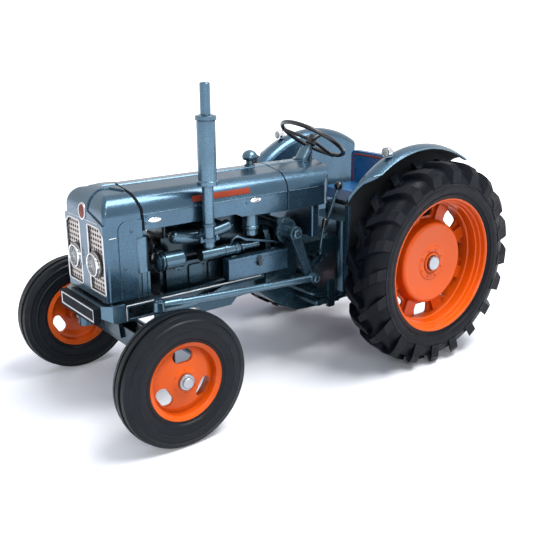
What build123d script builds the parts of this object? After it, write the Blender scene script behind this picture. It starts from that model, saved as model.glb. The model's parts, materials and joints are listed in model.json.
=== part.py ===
"""Die-cast scale model of a vintage farm tractor, at about 1:16.

Millimetres. +X points forward, +Y to the driver's left, +Z up. The origin lies on
the ground, under the middle of the model's length and width.
"""
import os
from math import atan2, cos, degrees, hypot, radians, sin, sqrt

from build123d import *

os.makedirs("parts", exist_ok=True)

# Overall layout
wheelbase = 127.0
rear_overhang = 58.0  # rear axle to the ends of the lower links
front_overhang = 25.2  # front axle to the front of the front tyres
overall_length = rear_overhang + wheelbase + front_overhang
rear_axle_x = rear_overhang - overall_length / 2
front_axle_x = rear_axle_x + wheelbase

# Running and seating clearances
pin_gap = 0.05  # radial, a pin in its bore
side_gap = 0.4  # between a turning piece and the face beside it
seat_gap = 0.1  # radial, a tyre on its rim
panel_gap = 0.6  # seam between two body panels

# Rear wheels
rear_tyre_radius = 44.6
rear_tyre_width = 18.0
rear_track = 90.0  # between the middles of the tyres
rear_rim_radius = 29.4
rear_rim_width = 15.0
lug_count = 20
lug_height = 2.6
lug_width = 4.3
lug_sweep = 8.0  # how far a lug's shoulder end trails its middle end
rear_disc_holes = 8
rear_dome_radius = 18.2
rear_pin_radius = 2.0
rear_cap_radius = 3.1
rear_cap_height = 1.9
trumpet_reach = 34.6  # middle of the tractor to the end of the axle trumpet

# Front wheels
front_tyre_radius = front_overhang
front_tyre_width = 10.0
front_track = 89.0
front_rim_radius = 14.6
front_rim_width = 7.8
front_disc_holes = 3
stub_radius = 1.6
stub_cap_radius = 2.9
stub_cap_height = 1.0
rib_height = 1.2

# Front axle and steering
kingpin_track = 69.0
kingpin_radius = 1.5
boss_radius = 3.2
boss_low = 28.6
boss_high = 34.5
beam_width = 6.0
beam_low = 26.3
beam_half = 20.0  # middle of the tractor to the end of the deep part of the beam
knuckle_low = 22.0
steer_arm_z = 41.4
steer_arm_thickness = 2.0
steer_arm_reach = 11.0  # sideways, kingpin to the drag link's ball
steer_arm_setback = 4.0  # backwards, kingpin to the drag link's ball
tie_arm_reach = 13.5  # backwards, kingpin to the tie rod's pin
tie_rod_radius = 0.95
drop_pivot = (57.4, 62.2)  # ahead of the rear axle, above the ground
drop_ball = (49.0, 41.8)
drop_arm_y = 20.4  # inner face of the drop arm
drag_radius = 1.5
socket_radius = 2.3

# Nose cowl and bonnet
hood_half = 16.6
hood_top = 88.2
hood_crease_z = 79.0
hood_low_z = 73.0
hood_skin = 1.2
crease_step = 0.25  # how far the rounded top stands out over the flat side
nose_front = 12.5  # ahead of the front axle
nose_low_z = 48.0
nose_rear = 0.3  # lower rear edge of the cowl, from the front axle
nose_step_z = 70.7  # height where the cowl's rear edge steps back to the seam
nose_top_radius = 8.6
nose_edge_radius = 1.6
seam_top = 0.3  # seam at the top, below the shoulder and at the lower edge, from the front axle
seam_shoulder = -2.3
seam_shoulder_z = 81.0
seam_low = -2.7
spine_half = 3.4  # raised band, at the front and where it meets the seam
spine_rear_half = 9.0
spine_rise = 0.5
flare_low_z = 76.6  # raised grille panel, at its outer corner and at the band
flare_high_z = 80.5
tank_front = 57.0  # from the rear axle
tank_rear = 31.0
tank_low_z = 70.8
tank_rear_radius = 8.0
cleaner_x = 64.0  # the pre-cleaner on the bonnet, from the rear axle

# Grille and lamps
grille_inner = 3.4
grille_outer = 15.9
grille_low_z = 50.7
grille_high_z = 75.5
grille_thickness = 0.8
grille_columns = 6
grille_rows = 13
headlamp_y = 8.0
headlamp_z = 61.0
headlamp_radius = 4.6
headlamp_depth = 1.3
headlamp_rim = 0.8
side_lamp_radius = 2.3

# Engine
engine_setback = 15.0  # front axle back to the front of the block
block_front = wheelbase - engine_setback  # from the rear axle
block_rear = 66.5
block_half = 10.5
block_low_z = 42.0
block_high_z = 66.0
sump_half = 9.0
sump_low_z = 36.0
well_low_z = 32.6
head_high_z = 78.5
exhaust_y = 20.0
exhaust_low_z = 62.5
exhaust_high_z = 124.7
muffler_low_z = 88.0
muffler_high_z = 112.0
muffler_radius = 3.55
tail_radius = 1.95
down_radius = 2.2

# Transmission and rear end
case_half = 9.5
centre_half = 13.0
case_high_z = rear_tyre_radius + 15.4
case_low_z = rear_tyre_radius - 20.6
cover_high_z = case_high_z + 5.0
trumpet_radius = 8.0
bell_half = 14.0

# Side rails, front casting, plate
rail_inner = 14.0
rail_outer = 18.0
rail_low_z = 40.2
rail_high_z = 46.1
rail_front = 6.4  # from the front axle
rail_rear = 70.5  # from the rear axle
casting_low_z = 40.0
casting_high_z = 47.0
casting_front = 15.5  # from the front axle
casting_rear = -7.0
plate_front = 18.0
plate_half = 15.1
plate_low_z = 40.3
plate_high_z = 46.9

# Fenders
fender_y = 31.0  # inner plate, its inner face
fender_outer = 40.5
crown_clearance = 6.1  # tyre to the top of the fender's crown
fender_radius = rear_tyre_radius + crown_clearance
fender_skin = 1.0
fender_front = 38.0
fender_low_z = rear_tyre_radius - 3.6
fender_end_angle = 122.0

# Driver's place
wheel_centre = (29.75, 96.3)  # steering wheel, from the rear axle and the ground
wheel_radius = 15.8
wheel_rim = 0.95
column_tilt = 33.5
column_radius = 1.5
seat_front = 12.5
seat_rear = -4.5
seat_half = 11.0
seat_top_z = cover_high_z + 7.0
seat_thickness = 5.4
backrest_top_z = seat_top_z + 15.0
backrest_thickness = 2.6

# Rear linkage
link_pivot = (-6.0, case_low_z + 1.0)
link_y = 18.5
shaft_pivot = (-14.0, case_high_z + 4.0)
lift_arm_reach = 20.0
link_width = 2.4
eye_radius = 0.9


def across(x, y, z):
    """Upright plane across the tractor: sketch X runs left, sketch Y runs up."""
    return Plane(origin=(x, y, z), x_dir=(0, 1, 0), z_dir=(1, 0, 0))


def beside(y):
    """Upright plane along the tractor at y: sketch X runs forward, sketch Y runs up."""
    return Plane(origin=(0, y, 0), x_dir=(1, 0, 0), z_dir=(0, -1, 0))


def level(z):
    """Level plane at height z."""
    return Plane.XY.offset(z)


def wheel_plane(x, y, z):
    """Plane of a left wheel, its normal pointing outwards along the axle."""
    return Plane(origin=(x, y, z), x_dir=(1, 0, 0), z_dir=(0, 1, 0))


def ax(x):
    """Station measured from the rear axle."""
    return rear_axle_x + x


def fx(x):
    """Station measured from the front axle."""
    return front_axle_x + x


def rod_through(points, radius, bend=2.0):
    """Round rod through points measured from the rear axle, bent round at each corner."""
    corners = [(ax(x), y, z) for x, y, z in points]
    with BuildPart() as rod:
        with BuildLine() as path:
            if len(corners) > 2:
                FilletPolyline(*corners, radius=bend)
            else:
                Line(*corners)
        with BuildSketch(Plane(origin=path.line @ 0, z_dir=path.line % 0)):
            Circle(radius)
        sweep(path=path.line)
    return rod.part


def dome_middle(radius, rise):
    """Middle of the arc of a round dome: its height over the dome's edge and its radius."""
    sphere = (radius**2 + rise**2) / (2 * rise)
    half_angle = atan2(rise, radius)
    return sphere * cos(half_angle) - sphere + rise, sphere * sin(half_angle)


def write(piece, label):
    piece.label = label
    export_step(piece, f"parts/{label}.step")


def write_pair(piece, label):
    write(piece, f"{label}_left")
    write(mirror(piece, about=Plane.XZ), f"{label}_right")


# Rear tyre: a plain carcass, with one lug cut to the tread and set round it on each side
rear_tyre_y = rear_track / 2
rear_wheel = wheel_plane(rear_axle_x, rear_tyre_y, rear_tyre_radius)
rear_turn = Axis(rear_wheel.origin, (0, 1, 0))
rear_half = rear_tyre_width / 2
rear_rim_half = rear_rim_width / 2
rim_lip = 1.0
rear_seat_radius = rear_rim_radius - rim_lip
rear_carcass = rear_tyre_radius - lug_height

sidewall = rear_carcass - rear_rim_radius
shoulder_fall = sidewall * 0.41  # how far the carcass rounds off, crown to shoulder
lug_foot = rear_carcass - shoulder_fall - sidewall * 0.13
tread_arc = ((0, rear_carcass), (rear_half * 0.64, rear_carcass - 1.0),
             (rear_half - 0.5, rear_carcass - shoulder_fall))
with BuildPart() as lug:
    with BuildSketch(Plane(origin=(lug_foot - 1, 0, 0), x_dir=(0, 0, 1), z_dir=(1, 0, 0))):
        with BuildLine():
            sweep_half = lug_sweep / 2
            width_half = lug_width / 2
            Polyline(
                (-1.0, -sweep_half - width_half * 0.7),
                (rear_half * 0.6, sweep_half * 0.2 - width_half),
                (rear_half + 0.5, sweep_half - width_half * 1.1),
                (rear_half + 0.5, sweep_half + width_half * 1.1),
                (rear_half * 0.6, sweep_half * 0.2 + width_half),
                (-1.0, -sweep_half + width_half * 0.7),
                close=True,
            )
        make_face()
    extrude(amount=rear_tyre_radius - lug_foot + 2)
    with BuildSketch(Plane.XZ):
        with BuildLine():
            Polyline(
                (rear_carcass - 0.5, -1.5),
                (rear_tyre_radius, -1.5),
                (rear_tyre_radius, rear_half * 0.55),
                (rear_tyre_radius - 0.8, rear_half * 0.8),
                (rear_tyre_radius - 3.4, rear_half),
                (lug_foot, rear_half),
                (lug_foot, rear_half - 0.9),
                (rear_carcass - shoulder_fall, rear_half - 1.0),
                (rear_carcass - 1.6, rear_half * 0.64),
                close=True,
            )
        make_face()
    revolve(axis=Axis.Z, mode=Mode.INTERSECT)

inner_lug = mirror(lug.part, about=Plane.XY)

with BuildPart(rear_wheel) as rear_tyre:
    with BuildSketch(across(*rear_wheel.origin)):
        with BuildLine():
            bead = rear_rim_half - rim_lip
            Polyline((0, rear_seat_radius + seat_gap), (bead, rear_seat_radius + seat_gap),
                     (bead, rear_rim_radius + seat_gap), (rear_rim_half, rear_rim_radius + seat_gap))
            ThreePointArc((rear_rim_half, rear_rim_radius + seat_gap),
                          (rear_half - 0.2, rear_rim_radius + sidewall * 0.27), tread_arc[2])
            ThreePointArc(*reversed(tread_arc))
            Polyline((0, rear_carcass), (0, rear_seat_radius + seat_gap))
        make_face()
        mirror(about=Plane.YZ)
    revolve(axis=rear_turn)
    with PolarLocations(0, lug_count):
        add(lug.part)
    with PolarLocations(0, lug_count, start_angle=180 / lug_count):
        add(inner_lug)
write_pair(rear_tyre.part, "rear_tyre")

# Rear rim: barrel, disc with a ring of windows, deep domed centre on eight feet, and hub
hub_inner = trumpet_reach + side_gap - rear_tyre_y
dome_face = 1.5
disc_back = -5.2
disc_face = -4.0
window_radius = 22.7
foot_height = 1.4
foot_width = 5.8
skirt_radius = rear_dome_radius + 0.9
with BuildPart(rear_wheel) as rear_rim:
    with BuildSketch(across(*rear_wheel.origin)):
        with BuildLine():
            Polyline(
                (rear_rim_half, rear_rim_radius),
                (rear_rim_half - rim_lip, rear_rim_radius),
                (rear_rim_half - rim_lip, rear_seat_radius),
                (rim_lip - rear_rim_half, rear_seat_radius),
                (rim_lip - rear_rim_half, rear_rim_radius),
                (-rear_rim_half, rear_rim_radius),
                (-rear_rim_half, rear_rim_radius - 2.2),
                (disc_back, rear_rim_radius - 2.8),
                (disc_back, skirt_radius - 1.2),
                (dome_face - 1.6, rear_dome_radius - 2.2),
                (dome_face - 2.6, 7.6),
                (hub_inner, 5.2),
                (hub_inner, rear_pin_radius + pin_gap),
                (dome_face - 0.7, rear_pin_radius + pin_gap),
                (dome_face - 0.7, 4.6),
                (dome_face - 0.3, 5.2),
                (dome_face - 0.3, 7.4),
                (dome_face - 0.6, 7.8),
                (dome_face, rear_dome_radius - 2.0),
            )
            ThreePointArc((dome_face, rear_dome_radius - 2.0),
                          (dome_face - 0.5, rear_dome_radius - 0.5),
                          (dome_face - 1.7, rear_dome_radius))
            Polyline(
                (dome_face - 1.7, rear_dome_radius),
                (disc_face, skirt_radius),
                (disc_face, rear_rim_radius - 4.0),
                (disc_face + 3.2, rear_rim_radius - 3.6),
                (disc_face + 3.6, rear_rim_radius - 3.0),
                (disc_face + 7.0, rear_rim_radius - 2.7),
                (disc_face + 7.4, rear_rim_radius - 2.1),
                (disc_face + 9.0, rear_rim_radius - 1.9),
                (disc_face + 9.3, rear_rim_radius - 1.3),
                (rear_rim_half - 0.5, rear_rim_radius - 1.1),
                (rear_rim_half, rear_rim_radius - 0.6),
                (rear_rim_half, rear_rim_radius),
            )
        make_face()
    revolve(axis=rear_turn)
    with BuildSketch(rear_wheel.offset(disc_face - 0.4)):
        foot_turn = 180 / rear_disc_holes
        with PolarLocations(window_radius - 0.6, rear_disc_holes, start_angle=foot_turn):
            RectangleRounded(rear_rim_radius - rear_dome_radius - 3.0, foot_width, 1.6)
    extrude(amount=foot_height + 0.4)
    with BuildSketch(rear_wheel.offset(disc_back - 1)):
        with PolarLocations(window_radius, rear_disc_holes):
            RectangleRounded(5.4, 8.4, 1.5)
    extrude(amount=foot_height + 3.2, mode=Mode.SUBTRACT)
write_pair(rear_rim.part, "rear_rim")

# Fixed pins that the rear wheels turn on, each with its round head
with BuildPart() as rear_pins:
    with BuildSketch(across(*rear_wheel.origin)):
        with BuildLine():
            pin_inner = trumpet_reach - rear_tyre_y
            head_inner = dome_face - 0.5
            Polyline(
                (pin_inner, 0),
                (pin_inner, rear_pin_radius),
                (head_inner, rear_pin_radius),
                (head_inner, rear_cap_radius),
                (head_inner + rear_cap_height - 0.3, rear_cap_radius),
                (head_inner + rear_cap_height, rear_cap_radius - 0.4),
                (head_inner + rear_cap_height, 0),
                close=True,
            )
        make_face()
    revolve(axis=rear_turn)
    mirror(about=Plane.XZ)
write(rear_pins.part, "rear_pins")

# Front tyre with three ribs
front_tyre_y = front_track / 2
front_wheel = wheel_plane(front_axle_x, front_tyre_y, front_tyre_radius)
front_turn = Axis(front_wheel.origin, (0, 1, 0))
front_half = front_tyre_width / 2
front_rim_half = front_rim_width / 2
front_lip = 0.8
front_seat_radius = front_rim_radius - 0.9
groove_radius = front_tyre_radius - rib_height
with BuildPart() as front_tyre:
    with BuildSketch(across(*front_wheel.origin)):
        with BuildLine():
            bead = front_rim_half - front_lip
            Polyline((0, front_seat_radius + seat_gap), (bead, front_seat_radius + seat_gap),
                     (bead, front_rim_radius + seat_gap),
                     (front_rim_half, front_rim_radius + seat_gap))
            ThreePointArc((front_rim_half, front_rim_radius + seat_gap),
                          (front_half, front_rim_radius + 4.6),
                          (front_half - 0.6, groove_radius - 0.8))
            Polyline((front_half - 0.6, groove_radius - 0.8), (front_half - 1.1, groove_radius + 0.6),
                     (front_half - 2.7, groove_radius + 0.9), (front_half - 2.9, groove_radius),
                     (front_half - 3.8, groove_radius), (front_half - 4.0, front_tyre_radius),
                     (0, front_tyre_radius), (0, front_seat_radius + seat_gap))
        make_face()
        mirror(about=Plane.YZ)
    revolve(axis=front_turn)
write_pair(front_tyre.part, "front_tyre")

# Front rim: barrel and a shallow dished disc with oval holes
knuckle_face = kingpin_track / 2 + boss_radius
stub_root = knuckle_face + 2.2
hub_inner_front = stub_root + side_gap - front_tyre_y
hub_face = 3.0
with BuildPart() as front_rim:
    with BuildSketch(across(*front_wheel.origin)):
        with BuildLine():
            Polyline(
                (front_rim_half, front_rim_radius),
                (front_rim_half - front_lip, front_rim_radius),
                (front_rim_half - front_lip, front_seat_radius),
                (front_lip - front_rim_half, front_seat_radius),
                (front_lip - front_rim_half, front_rim_radius),
                (-front_rim_half, front_rim_radius),
                (-front_rim_half, front_rim_radius - 2.0),
                (-0.6, front_rim_radius - 2.4),
                (-0.4, front_rim_radius - 3.4),
                (0.5, 9.4),
                (1.2, 4.2),
                (hub_inner_front, 3.9),
                (hub_inner_front, stub_radius + pin_gap),
                (hub_face, stub_radius + pin_gap),
                (hub_face, 3.5),
                (2.3, 5.2),
                (1.6, 9.8),
                (0.8, front_rim_radius - 2.2),
                (front_rim_half - 1.0, front_rim_radius - 1.7),
                close=True,
            )
        make_face()
    revolve(axis=front_turn)
    with BuildSketch(front_wheel.offset(-front_rim_half)):
        with PolarLocations(9.1, front_disc_holes, start_angle=-90):
            SlotOverall(8.0, 4.6, rotation=90)
    extrude(amount=front_rim_width, mode=Mode.SUBTRACT)
write_pair(front_rim.part, "front_rim")

# Front axle: deep beam pivoted under the casting, a slimmer arm each side, a boss for each kingpin
kingpin_y = kingpin_track / 2
arm_low = boss_low + 0.6
arm_high = boss_high - 0.6
with BuildPart() as front_axle:
    with BuildSketch(beside(0).offset(-beam_half)):
        with Locations((front_axle_x, (beam_low + boss_high) / 2)):
            RectangleRounded(beam_width, boss_high - beam_low, 0.8)
    extrude(amount=2 * beam_half)
    with BuildSketch(beside(0).offset(-kingpin_y)):
        with Locations((front_axle_x, (arm_low + arm_high) / 2)):
            Rectangle(beam_width - 1.8, arm_high - arm_low)
    extrude(amount=2 * kingpin_y)
    with BuildSketch(level(boss_low)):
        with Locations((front_axle_x, kingpin_y), (front_axle_x, -kingpin_y)):
            Circle(boss_radius)
    extrude(amount=boss_high - boss_low)
    with BuildSketch(across(front_axle_x - beam_width / 2 - 1.2, 0, 0)):
        with BuildLine():
            Polyline((-7.0, boss_high - 5), (7.0, boss_high - 5), (4.6, casting_low_z - side_gap),
                     (-4.6, casting_low_z - side_gap), close=True)
        make_face()
    extrude(amount=beam_width + 2.4)
    with BuildSketch(level(boss_low - 1)):
        with Locations((front_axle_x, kingpin_y), (front_axle_x, -kingpin_y)):
            Circle(kingpin_radius + pin_gap)
    extrude(amount=boss_high - boss_low + 2, mode=Mode.SUBTRACT)
write(front_axle.part, "front_axle")

# Steering knuckles: kingpin, lower block, stub axle with its cap, and the tie rod's arm
block_high = boss_low - side_gap
stub_z = front_tyre_radius
cap_inner = front_tyre_y + hub_face + side_gap / 2
tie_arm_z = knuckle_low + 1.2
tie_arm_thickness = 2.0
tie_pin_radius = 0.9
tie_pin_high = tie_arm_z + tie_arm_thickness + 2.6
with BuildPart() as knuckle_base:
    with BuildSketch(level(knuckle_low)):
        with Locations((front_axle_x, kingpin_y)):
            Circle(boss_radius)
    extrude(amount=block_high - knuckle_low)
    with BuildSketch(level(knuckle_low)):
        with Locations((front_axle_x, kingpin_y)):
            Circle(kingpin_radius)
    extrude(amount=steer_arm_z + steer_arm_thickness - knuckle_low)
    with BuildSketch(level(boss_high + side_gap)):
        with Locations((front_axle_x, kingpin_y)):
            Circle(boss_radius - 0.5)
    extrude(amount=steer_arm_z + steer_arm_thickness - boss_high - side_gap)
    with BuildSketch(beside(kingpin_y)):
        with Locations((front_axle_x, stub_z)):
            Circle(stub_radius)
    extrude(amount=kingpin_y - cap_inner)
    with BuildSketch(beside(kingpin_y)):
        with Locations((front_axle_x, stub_z)):
            Circle(stub_radius + 1.2)
    extrude(amount=kingpin_y - stub_root)
    with BuildSketch(beside(cap_inner)):
        with Locations((front_axle_x, stub_z)):
            Circle(stub_cap_radius)
    extrude(amount=-stub_cap_height)
    with BuildSketch(level(tie_arm_z)):
        with BuildLine():
            Polyline(
                (front_axle_x, kingpin_y - 2.0),
                (front_axle_x - tie_arm_reach, kingpin_y - 1.5),
                (front_axle_x - tie_arm_reach, kingpin_y + 1.5),
                (front_axle_x, kingpin_y + 2.0),
                close=True,
            )
        make_face()
        with Locations((front_axle_x - tie_arm_reach, kingpin_y)):
            Circle(2.0)
    extrude(amount=tie_arm_thickness)
    with BuildSketch(level(tie_arm_z)):
        with Locations((front_axle_x - tie_arm_reach, kingpin_y)):
            Circle(tie_pin_radius)
    extrude(amount=tie_pin_high - tie_arm_z)
write(mirror(knuckle_base.part, about=Plane.XZ), "knuckle_right")

ball_x = front_axle_x - steer_arm_setback
ball_y = kingpin_y - steer_arm_reach
with BuildPart() as knuckle_left:
    add(knuckle_base.part)
    with BuildSketch(level(steer_arm_z)):
        arm_turn = degrees(atan2(ball_y - kingpin_y, ball_x - front_axle_x))
        arm_length = hypot(steer_arm_reach, steer_arm_setback)
        with Locations(((front_axle_x + ball_x) / 2, (kingpin_y + ball_y) / 2)):
            SlotCenterToCenter(arm_length, 2 * socket_radius - 0.6, rotation=arm_turn)
        with Locations((front_axle_x, kingpin_y)):
            Circle(boss_radius)
    extrude(amount=steer_arm_thickness)
write(knuckle_left.part, "knuckle_left")

# Tie rod behind the beam: an eye on each knuckle's pin
tie_eye_radius = 2.2
tie_eye_z = tie_arm_z + tie_arm_thickness + 0.15
tie_eye_height = 2.2
open_eye_gap = 0.25
tie_x = front_axle_x - tie_arm_reach
with BuildPart() as tie_rod:
    with BuildSketch(beside(0).offset(-kingpin_y)):
        with Locations((tie_x, tie_eye_z + tie_eye_height / 2)):
            Circle(tie_rod_radius)
    extrude(amount=2 * kingpin_y)
    with BuildSketch(level(tie_eye_z)):
        with Locations((tie_x, kingpin_y), (tie_x, -kingpin_y)):
            Circle(tie_eye_radius)
    extrude(amount=tie_eye_height)
    with BuildSketch(level(tie_eye_z - 1)):
        with Locations((tie_x, kingpin_y)):
            Circle(tie_pin_radius + pin_gap)
        with Locations((tie_x, -kingpin_y)):
            Circle(tie_pin_radius + open_eye_gap)
    extrude(amount=tie_eye_height + 2, mode=Mode.SUBTRACT)
write(tie_rod.part, "tie_rod")

# Front casting between the rails, wider ahead of them, with a sloping underside
with BuildPart() as front_casting:
    with BuildSketch(level(casting_low_z)):
        with BuildLine():
            Polyline(
                (fx(casting_rear), 0),
                (fx(casting_rear), rail_inner),
                (fx(rail_front) + side_gap, rail_inner),
                (fx(rail_front) + side_gap, rail_outer),
                (fx(casting_front) - 3.6, rail_outer),
                (fx(casting_front), rail_inner + 0.6),
                (fx(casting_front), 0),
            )
            mirror(about=Plane.XZ)
        make_face()
    extrude(amount=casting_high_z - casting_low_z)
    with BuildSketch(beside(0).offset(-rail_outer)):
        with BuildLine():
            Polyline((fx(casting_front) - 5.0, casting_low_z), (fx(casting_front), casting_low_z + 2.4),
                     (fx(casting_front), casting_low_z), close=True)
        make_face()
    extrude(amount=2 * rail_outer, mode=Mode.SUBTRACT)
write(front_casting.part, "front_casting")

# Blank number plate standing on the front of the casting
plate_thickness = plate_front - casting_front
with BuildPart() as number_plate:
    with BuildSketch(across(fx(casting_front), 0, 0)):
        with Locations((0, (plate_low_z + plate_high_z) / 2)):
            RectangleRounded(2 * plate_half, plate_high_z - plate_low_z, 0.6)
    extrude(amount=plate_thickness)
    with BuildSketch(across(fx(plate_front), 0, 0)):
        with Locations((0, (plate_low_z + plate_high_z) / 2)):
            Rectangle(2 * plate_half - 1.4, plate_high_z - plate_low_z - 1.4)
    extrude(amount=-0.3, mode=Mode.SUBTRACT)
write(number_plate.part, "number_plate")

# Side rails: channel section, deep at the front and tapering to a flange at the rear
rail_flange = 0.8
rail_web = 1.4
rail_step = (ax(rail_rear + 33.5), ax(rail_rear + 15.5))  # lower and upper end of the taper
with BuildPart() as side_rail:
    with BuildSketch(beside(rail_outer)):
        with BuildLine():
            Polyline(
                (fx(rail_front), rail_low_z),
                (fx(rail_front), rail_high_z),
                (ax(rail_rear), rail_high_z),
                (ax(rail_rear), rail_high_z - 1.2),
                (rail_step[1], rail_high_z - 2.0),
                (rail_step[0], rail_low_z),
                close=True,
            )
        make_face()
    extrude(amount=rail_outer - rail_inner)
    with BuildSketch(beside(rail_outer)):
        with BuildLine():
            Polyline(
                (fx(rail_front) - rail_flange, rail_low_z + rail_flange),
                (fx(rail_front) - rail_flange, rail_high_z - rail_flange),
                (rail_step[1] + 4, rail_high_z - rail_flange),
                (rail_step[0] - 0.4, rail_low_z + rail_flange),
                close=True,
            )
        make_face()
    extrude(amount=rail_outer - rail_inner - rail_web, mode=Mode.SUBTRACT)
    with BuildSketch(level(rail_high_z)):
        with Locations((ax(rail_rear + 5), (block_half + rail_inner) / 2)):
            Rectangle(7, rail_inner - block_half)
    extrude(amount=-1.2)
    mirror(about=Plane.XZ)
write(side_rail.part, "side_rails")


def hood_section(inset=0.0, low=hood_low_z, step=0.0):
    """Cross section shared by the bonnet, the tank and the nose cowl."""
    half = hood_half - inset
    top = hood_top - inset
    with BuildSketch() as section:
        with BuildLine():
            Polyline((0, top), (2.4, top), (2.8, top - 0.4), (half - 5.8, top - 1.7))
            ThreePointArc((half - 5.8, top - 1.7), (half - 1.5, hood_crease_z + 4.6),
                          (half + step, hood_crease_z))
            if step:
                Line((half + step, hood_crease_z), (half, hood_crease_z - 1.2 * step))
            Polyline((half, hood_crease_z - 1.2 * step), (half, low), (0, low))
            mirror(about=Plane.YZ)
        make_face()
    return section.sketch


def side_prism(points, reach=hood_half + 6):
    """Solid with a straight-sided outline seen from the side, across the whole tractor."""
    with BuildPart() as prism:
        with BuildSketch(beside(reach)):
            with BuildLine():
                Polyline(*points, close=True)
            make_face()
        extrude(amount=2 * reach)
    return prism.part


# Nose cowl: the bonnet's section carried forward and down, rounded over the front
nose_skin = 1.4
seam_line = ((seam_top, hood_top), (seam_shoulder, seam_shoulder_z), (seam_low, hood_low_z))


def nose_shell(inset):
    """Solid of the nose, moved inwards by inset and run through at the rear and below."""
    back = 2 * max(inset, 0)
    low = nose_low_z - back
    rear = fx(nose_rear) - back
    front = fx(nose_front) - inset
    top = hood_top - inset
    radius = nose_top_radius - inset
    seam = [(fx(x) - back, z) for x, z in seam_line]
    with BuildPart() as shell:
        with BuildSketch(across(seam[-1][0], 0, 0)):
            add(hood_section(inset, low))
        extrude(amount=front - seam[-1][0])
        with BuildSketch(beside(hood_half + 2)):
            with BuildLine():
                Polyline((front, top - radius), (front, low), (rear, low), (rear, nose_step_z - 1),
                         (rear - 1, nose_step_z), (seam[2][0], nose_step_z), seam[2], seam[1],
                         seam[0], (seam[0][0], top + 1), (front - radius, top + 1),
                         (front - radius, top))
                RadiusArc((front - radius, top), (front, top - radius), radius)
            make_face()
        extrude(amount=2 * hood_half + 4, mode=Mode.INTERSECT)
    return shell.part


grille_step = grille_high_z - 2.6  # height of the window's outer upper corner


def grille_outline(gap):
    """Outline of the left grille, drawn back from its window by gap."""
    with BuildSketch() as outline:
        with BuildLine():
            Polyline(
                (grille_inner + gap, grille_low_z + gap),
                (grille_outer - gap, grille_low_z + gap),
                (grille_outer - gap, grille_step - gap),
                (grille_outer - 3.0 - gap, grille_high_z - gap),
                (grille_inner + gap, grille_high_z - gap),
                close=True,
            )
        make_face()
    return outline.sketch


nose_outer = nose_shell(0)
nose_inner = nose_shell(nose_skin)
front_chain = [
    edge for edge in nose_outer.edges()
    if edge.center().X > fx(nose_front) - nose_top_radius / 2
    and abs(edge.center().Y) > hood_half - 4
    and edge.center().Z > nose_low_z + 1
]
panel_rise = 0.4
panel_high_z = 77.3
panel_front_x = nose_front - 5.2
panel_corner = 3.4
nose_rounded = fillet(front_chain, nose_edge_radius)

# Raised band: a wedge along the top that flares over the front into the grilles' panel
band_front = fx(nose_front) - nose_top_radius
with BuildPart() as nose_raised_part:
    with BuildSketch(level(flare_high_z - 3)):
        with BuildLine():
            Polyline((fx(seam_shoulder), 0), (fx(seam_shoulder), spine_rear_half),
                     (fx(seam_top), spine_rear_half), (band_front, spine_half + 1.4),
                     (fx(nose_front) + 2, spine_half), (fx(nose_front) + 2, 0))
            mirror(about=Plane.XZ)
        make_face()
    extrude(amount=hood_top)
    with BuildSketch(across(fx(nose_front) - 1, 0, 0)):
        with BuildLine():
            Polyline((0, flare_high_z), (spine_half, flare_high_z),
                     (grille_outer + 0.4, flare_low_z), (grille_outer + 0.4, nose_low_z),
                     (0, nose_low_z))
            mirror(about=Plane.YZ)
        make_face()
    extrude(amount=3)
    add(nose_shell(-spine_rise), mode=Mode.INTERSECT)
nose_raised = nose_raised_part.part
with BuildPart() as nose_cowl:
    add(nose_rounded)
    with BuildSketch(beside(hood_half + panel_rise)):
        with BuildLine():
            panel_x = fx(panel_front_x)
            Polyline((fx(nose_rear), nose_low_z + 0.6), (panel_x, nose_low_z + 0.6),
                     (panel_x, panel_high_z - panel_corner))
            RadiusArc((panel_x, panel_high_z - panel_corner),
                      (panel_x - panel_corner, panel_high_z), -panel_corner)
            Polyline((panel_x - panel_corner, panel_high_z), (fx(seam_low) + 0.4, panel_high_z),
                     (fx(seam_low) + 0.4, nose_step_z), (fx(nose_rear), nose_step_z),
                     (fx(nose_rear), nose_low_z + 0.6))
        make_face()
    extrude(amount=panel_rise + 1)
    mirror(about=Plane.XZ)
    add(nose_raised)
    add(nose_inner, mode=Mode.SUBTRACT)
    with BuildSketch(across(fx(nose_front) - nose_skin - 1, 0, 0)):
        add(grille_outline(0))
        mirror(about=Plane.YZ)
    extrude(amount=nose_skin + 2, mode=Mode.SUBTRACT)
write(nose_cowl.part, "nose_cowl")

# Grilles: one perforated panel in each window of the cowl
grille_gap = 0.1
grille_face_x = fx(nose_front) - 0.2
hole_pitch_y = (grille_outer - grille_inner - 1.2) / grille_columns
hole_pitch_z = (grille_high_z - grille_low_z - 1.2) / grille_rows
with BuildPart() as grilles:
    with BuildSketch(across(grille_face_x - grille_thickness, 0, 0)):
        add(grille_outline(grille_gap))
        with Locations(((grille_inner + grille_outer) / 2, (grille_low_z + grille_high_z) / 2)):
            with GridLocations(hole_pitch_y, hole_pitch_z, grille_columns, grille_rows):
                Rectangle(hole_pitch_z * 0.62, hole_pitch_z * 0.62, rotation=45,
                          mode=Mode.SUBTRACT)
        mirror(about=Plane.YZ)
    extrude(amount=grille_thickness)
write(grilles.part, "grilles")

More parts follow.
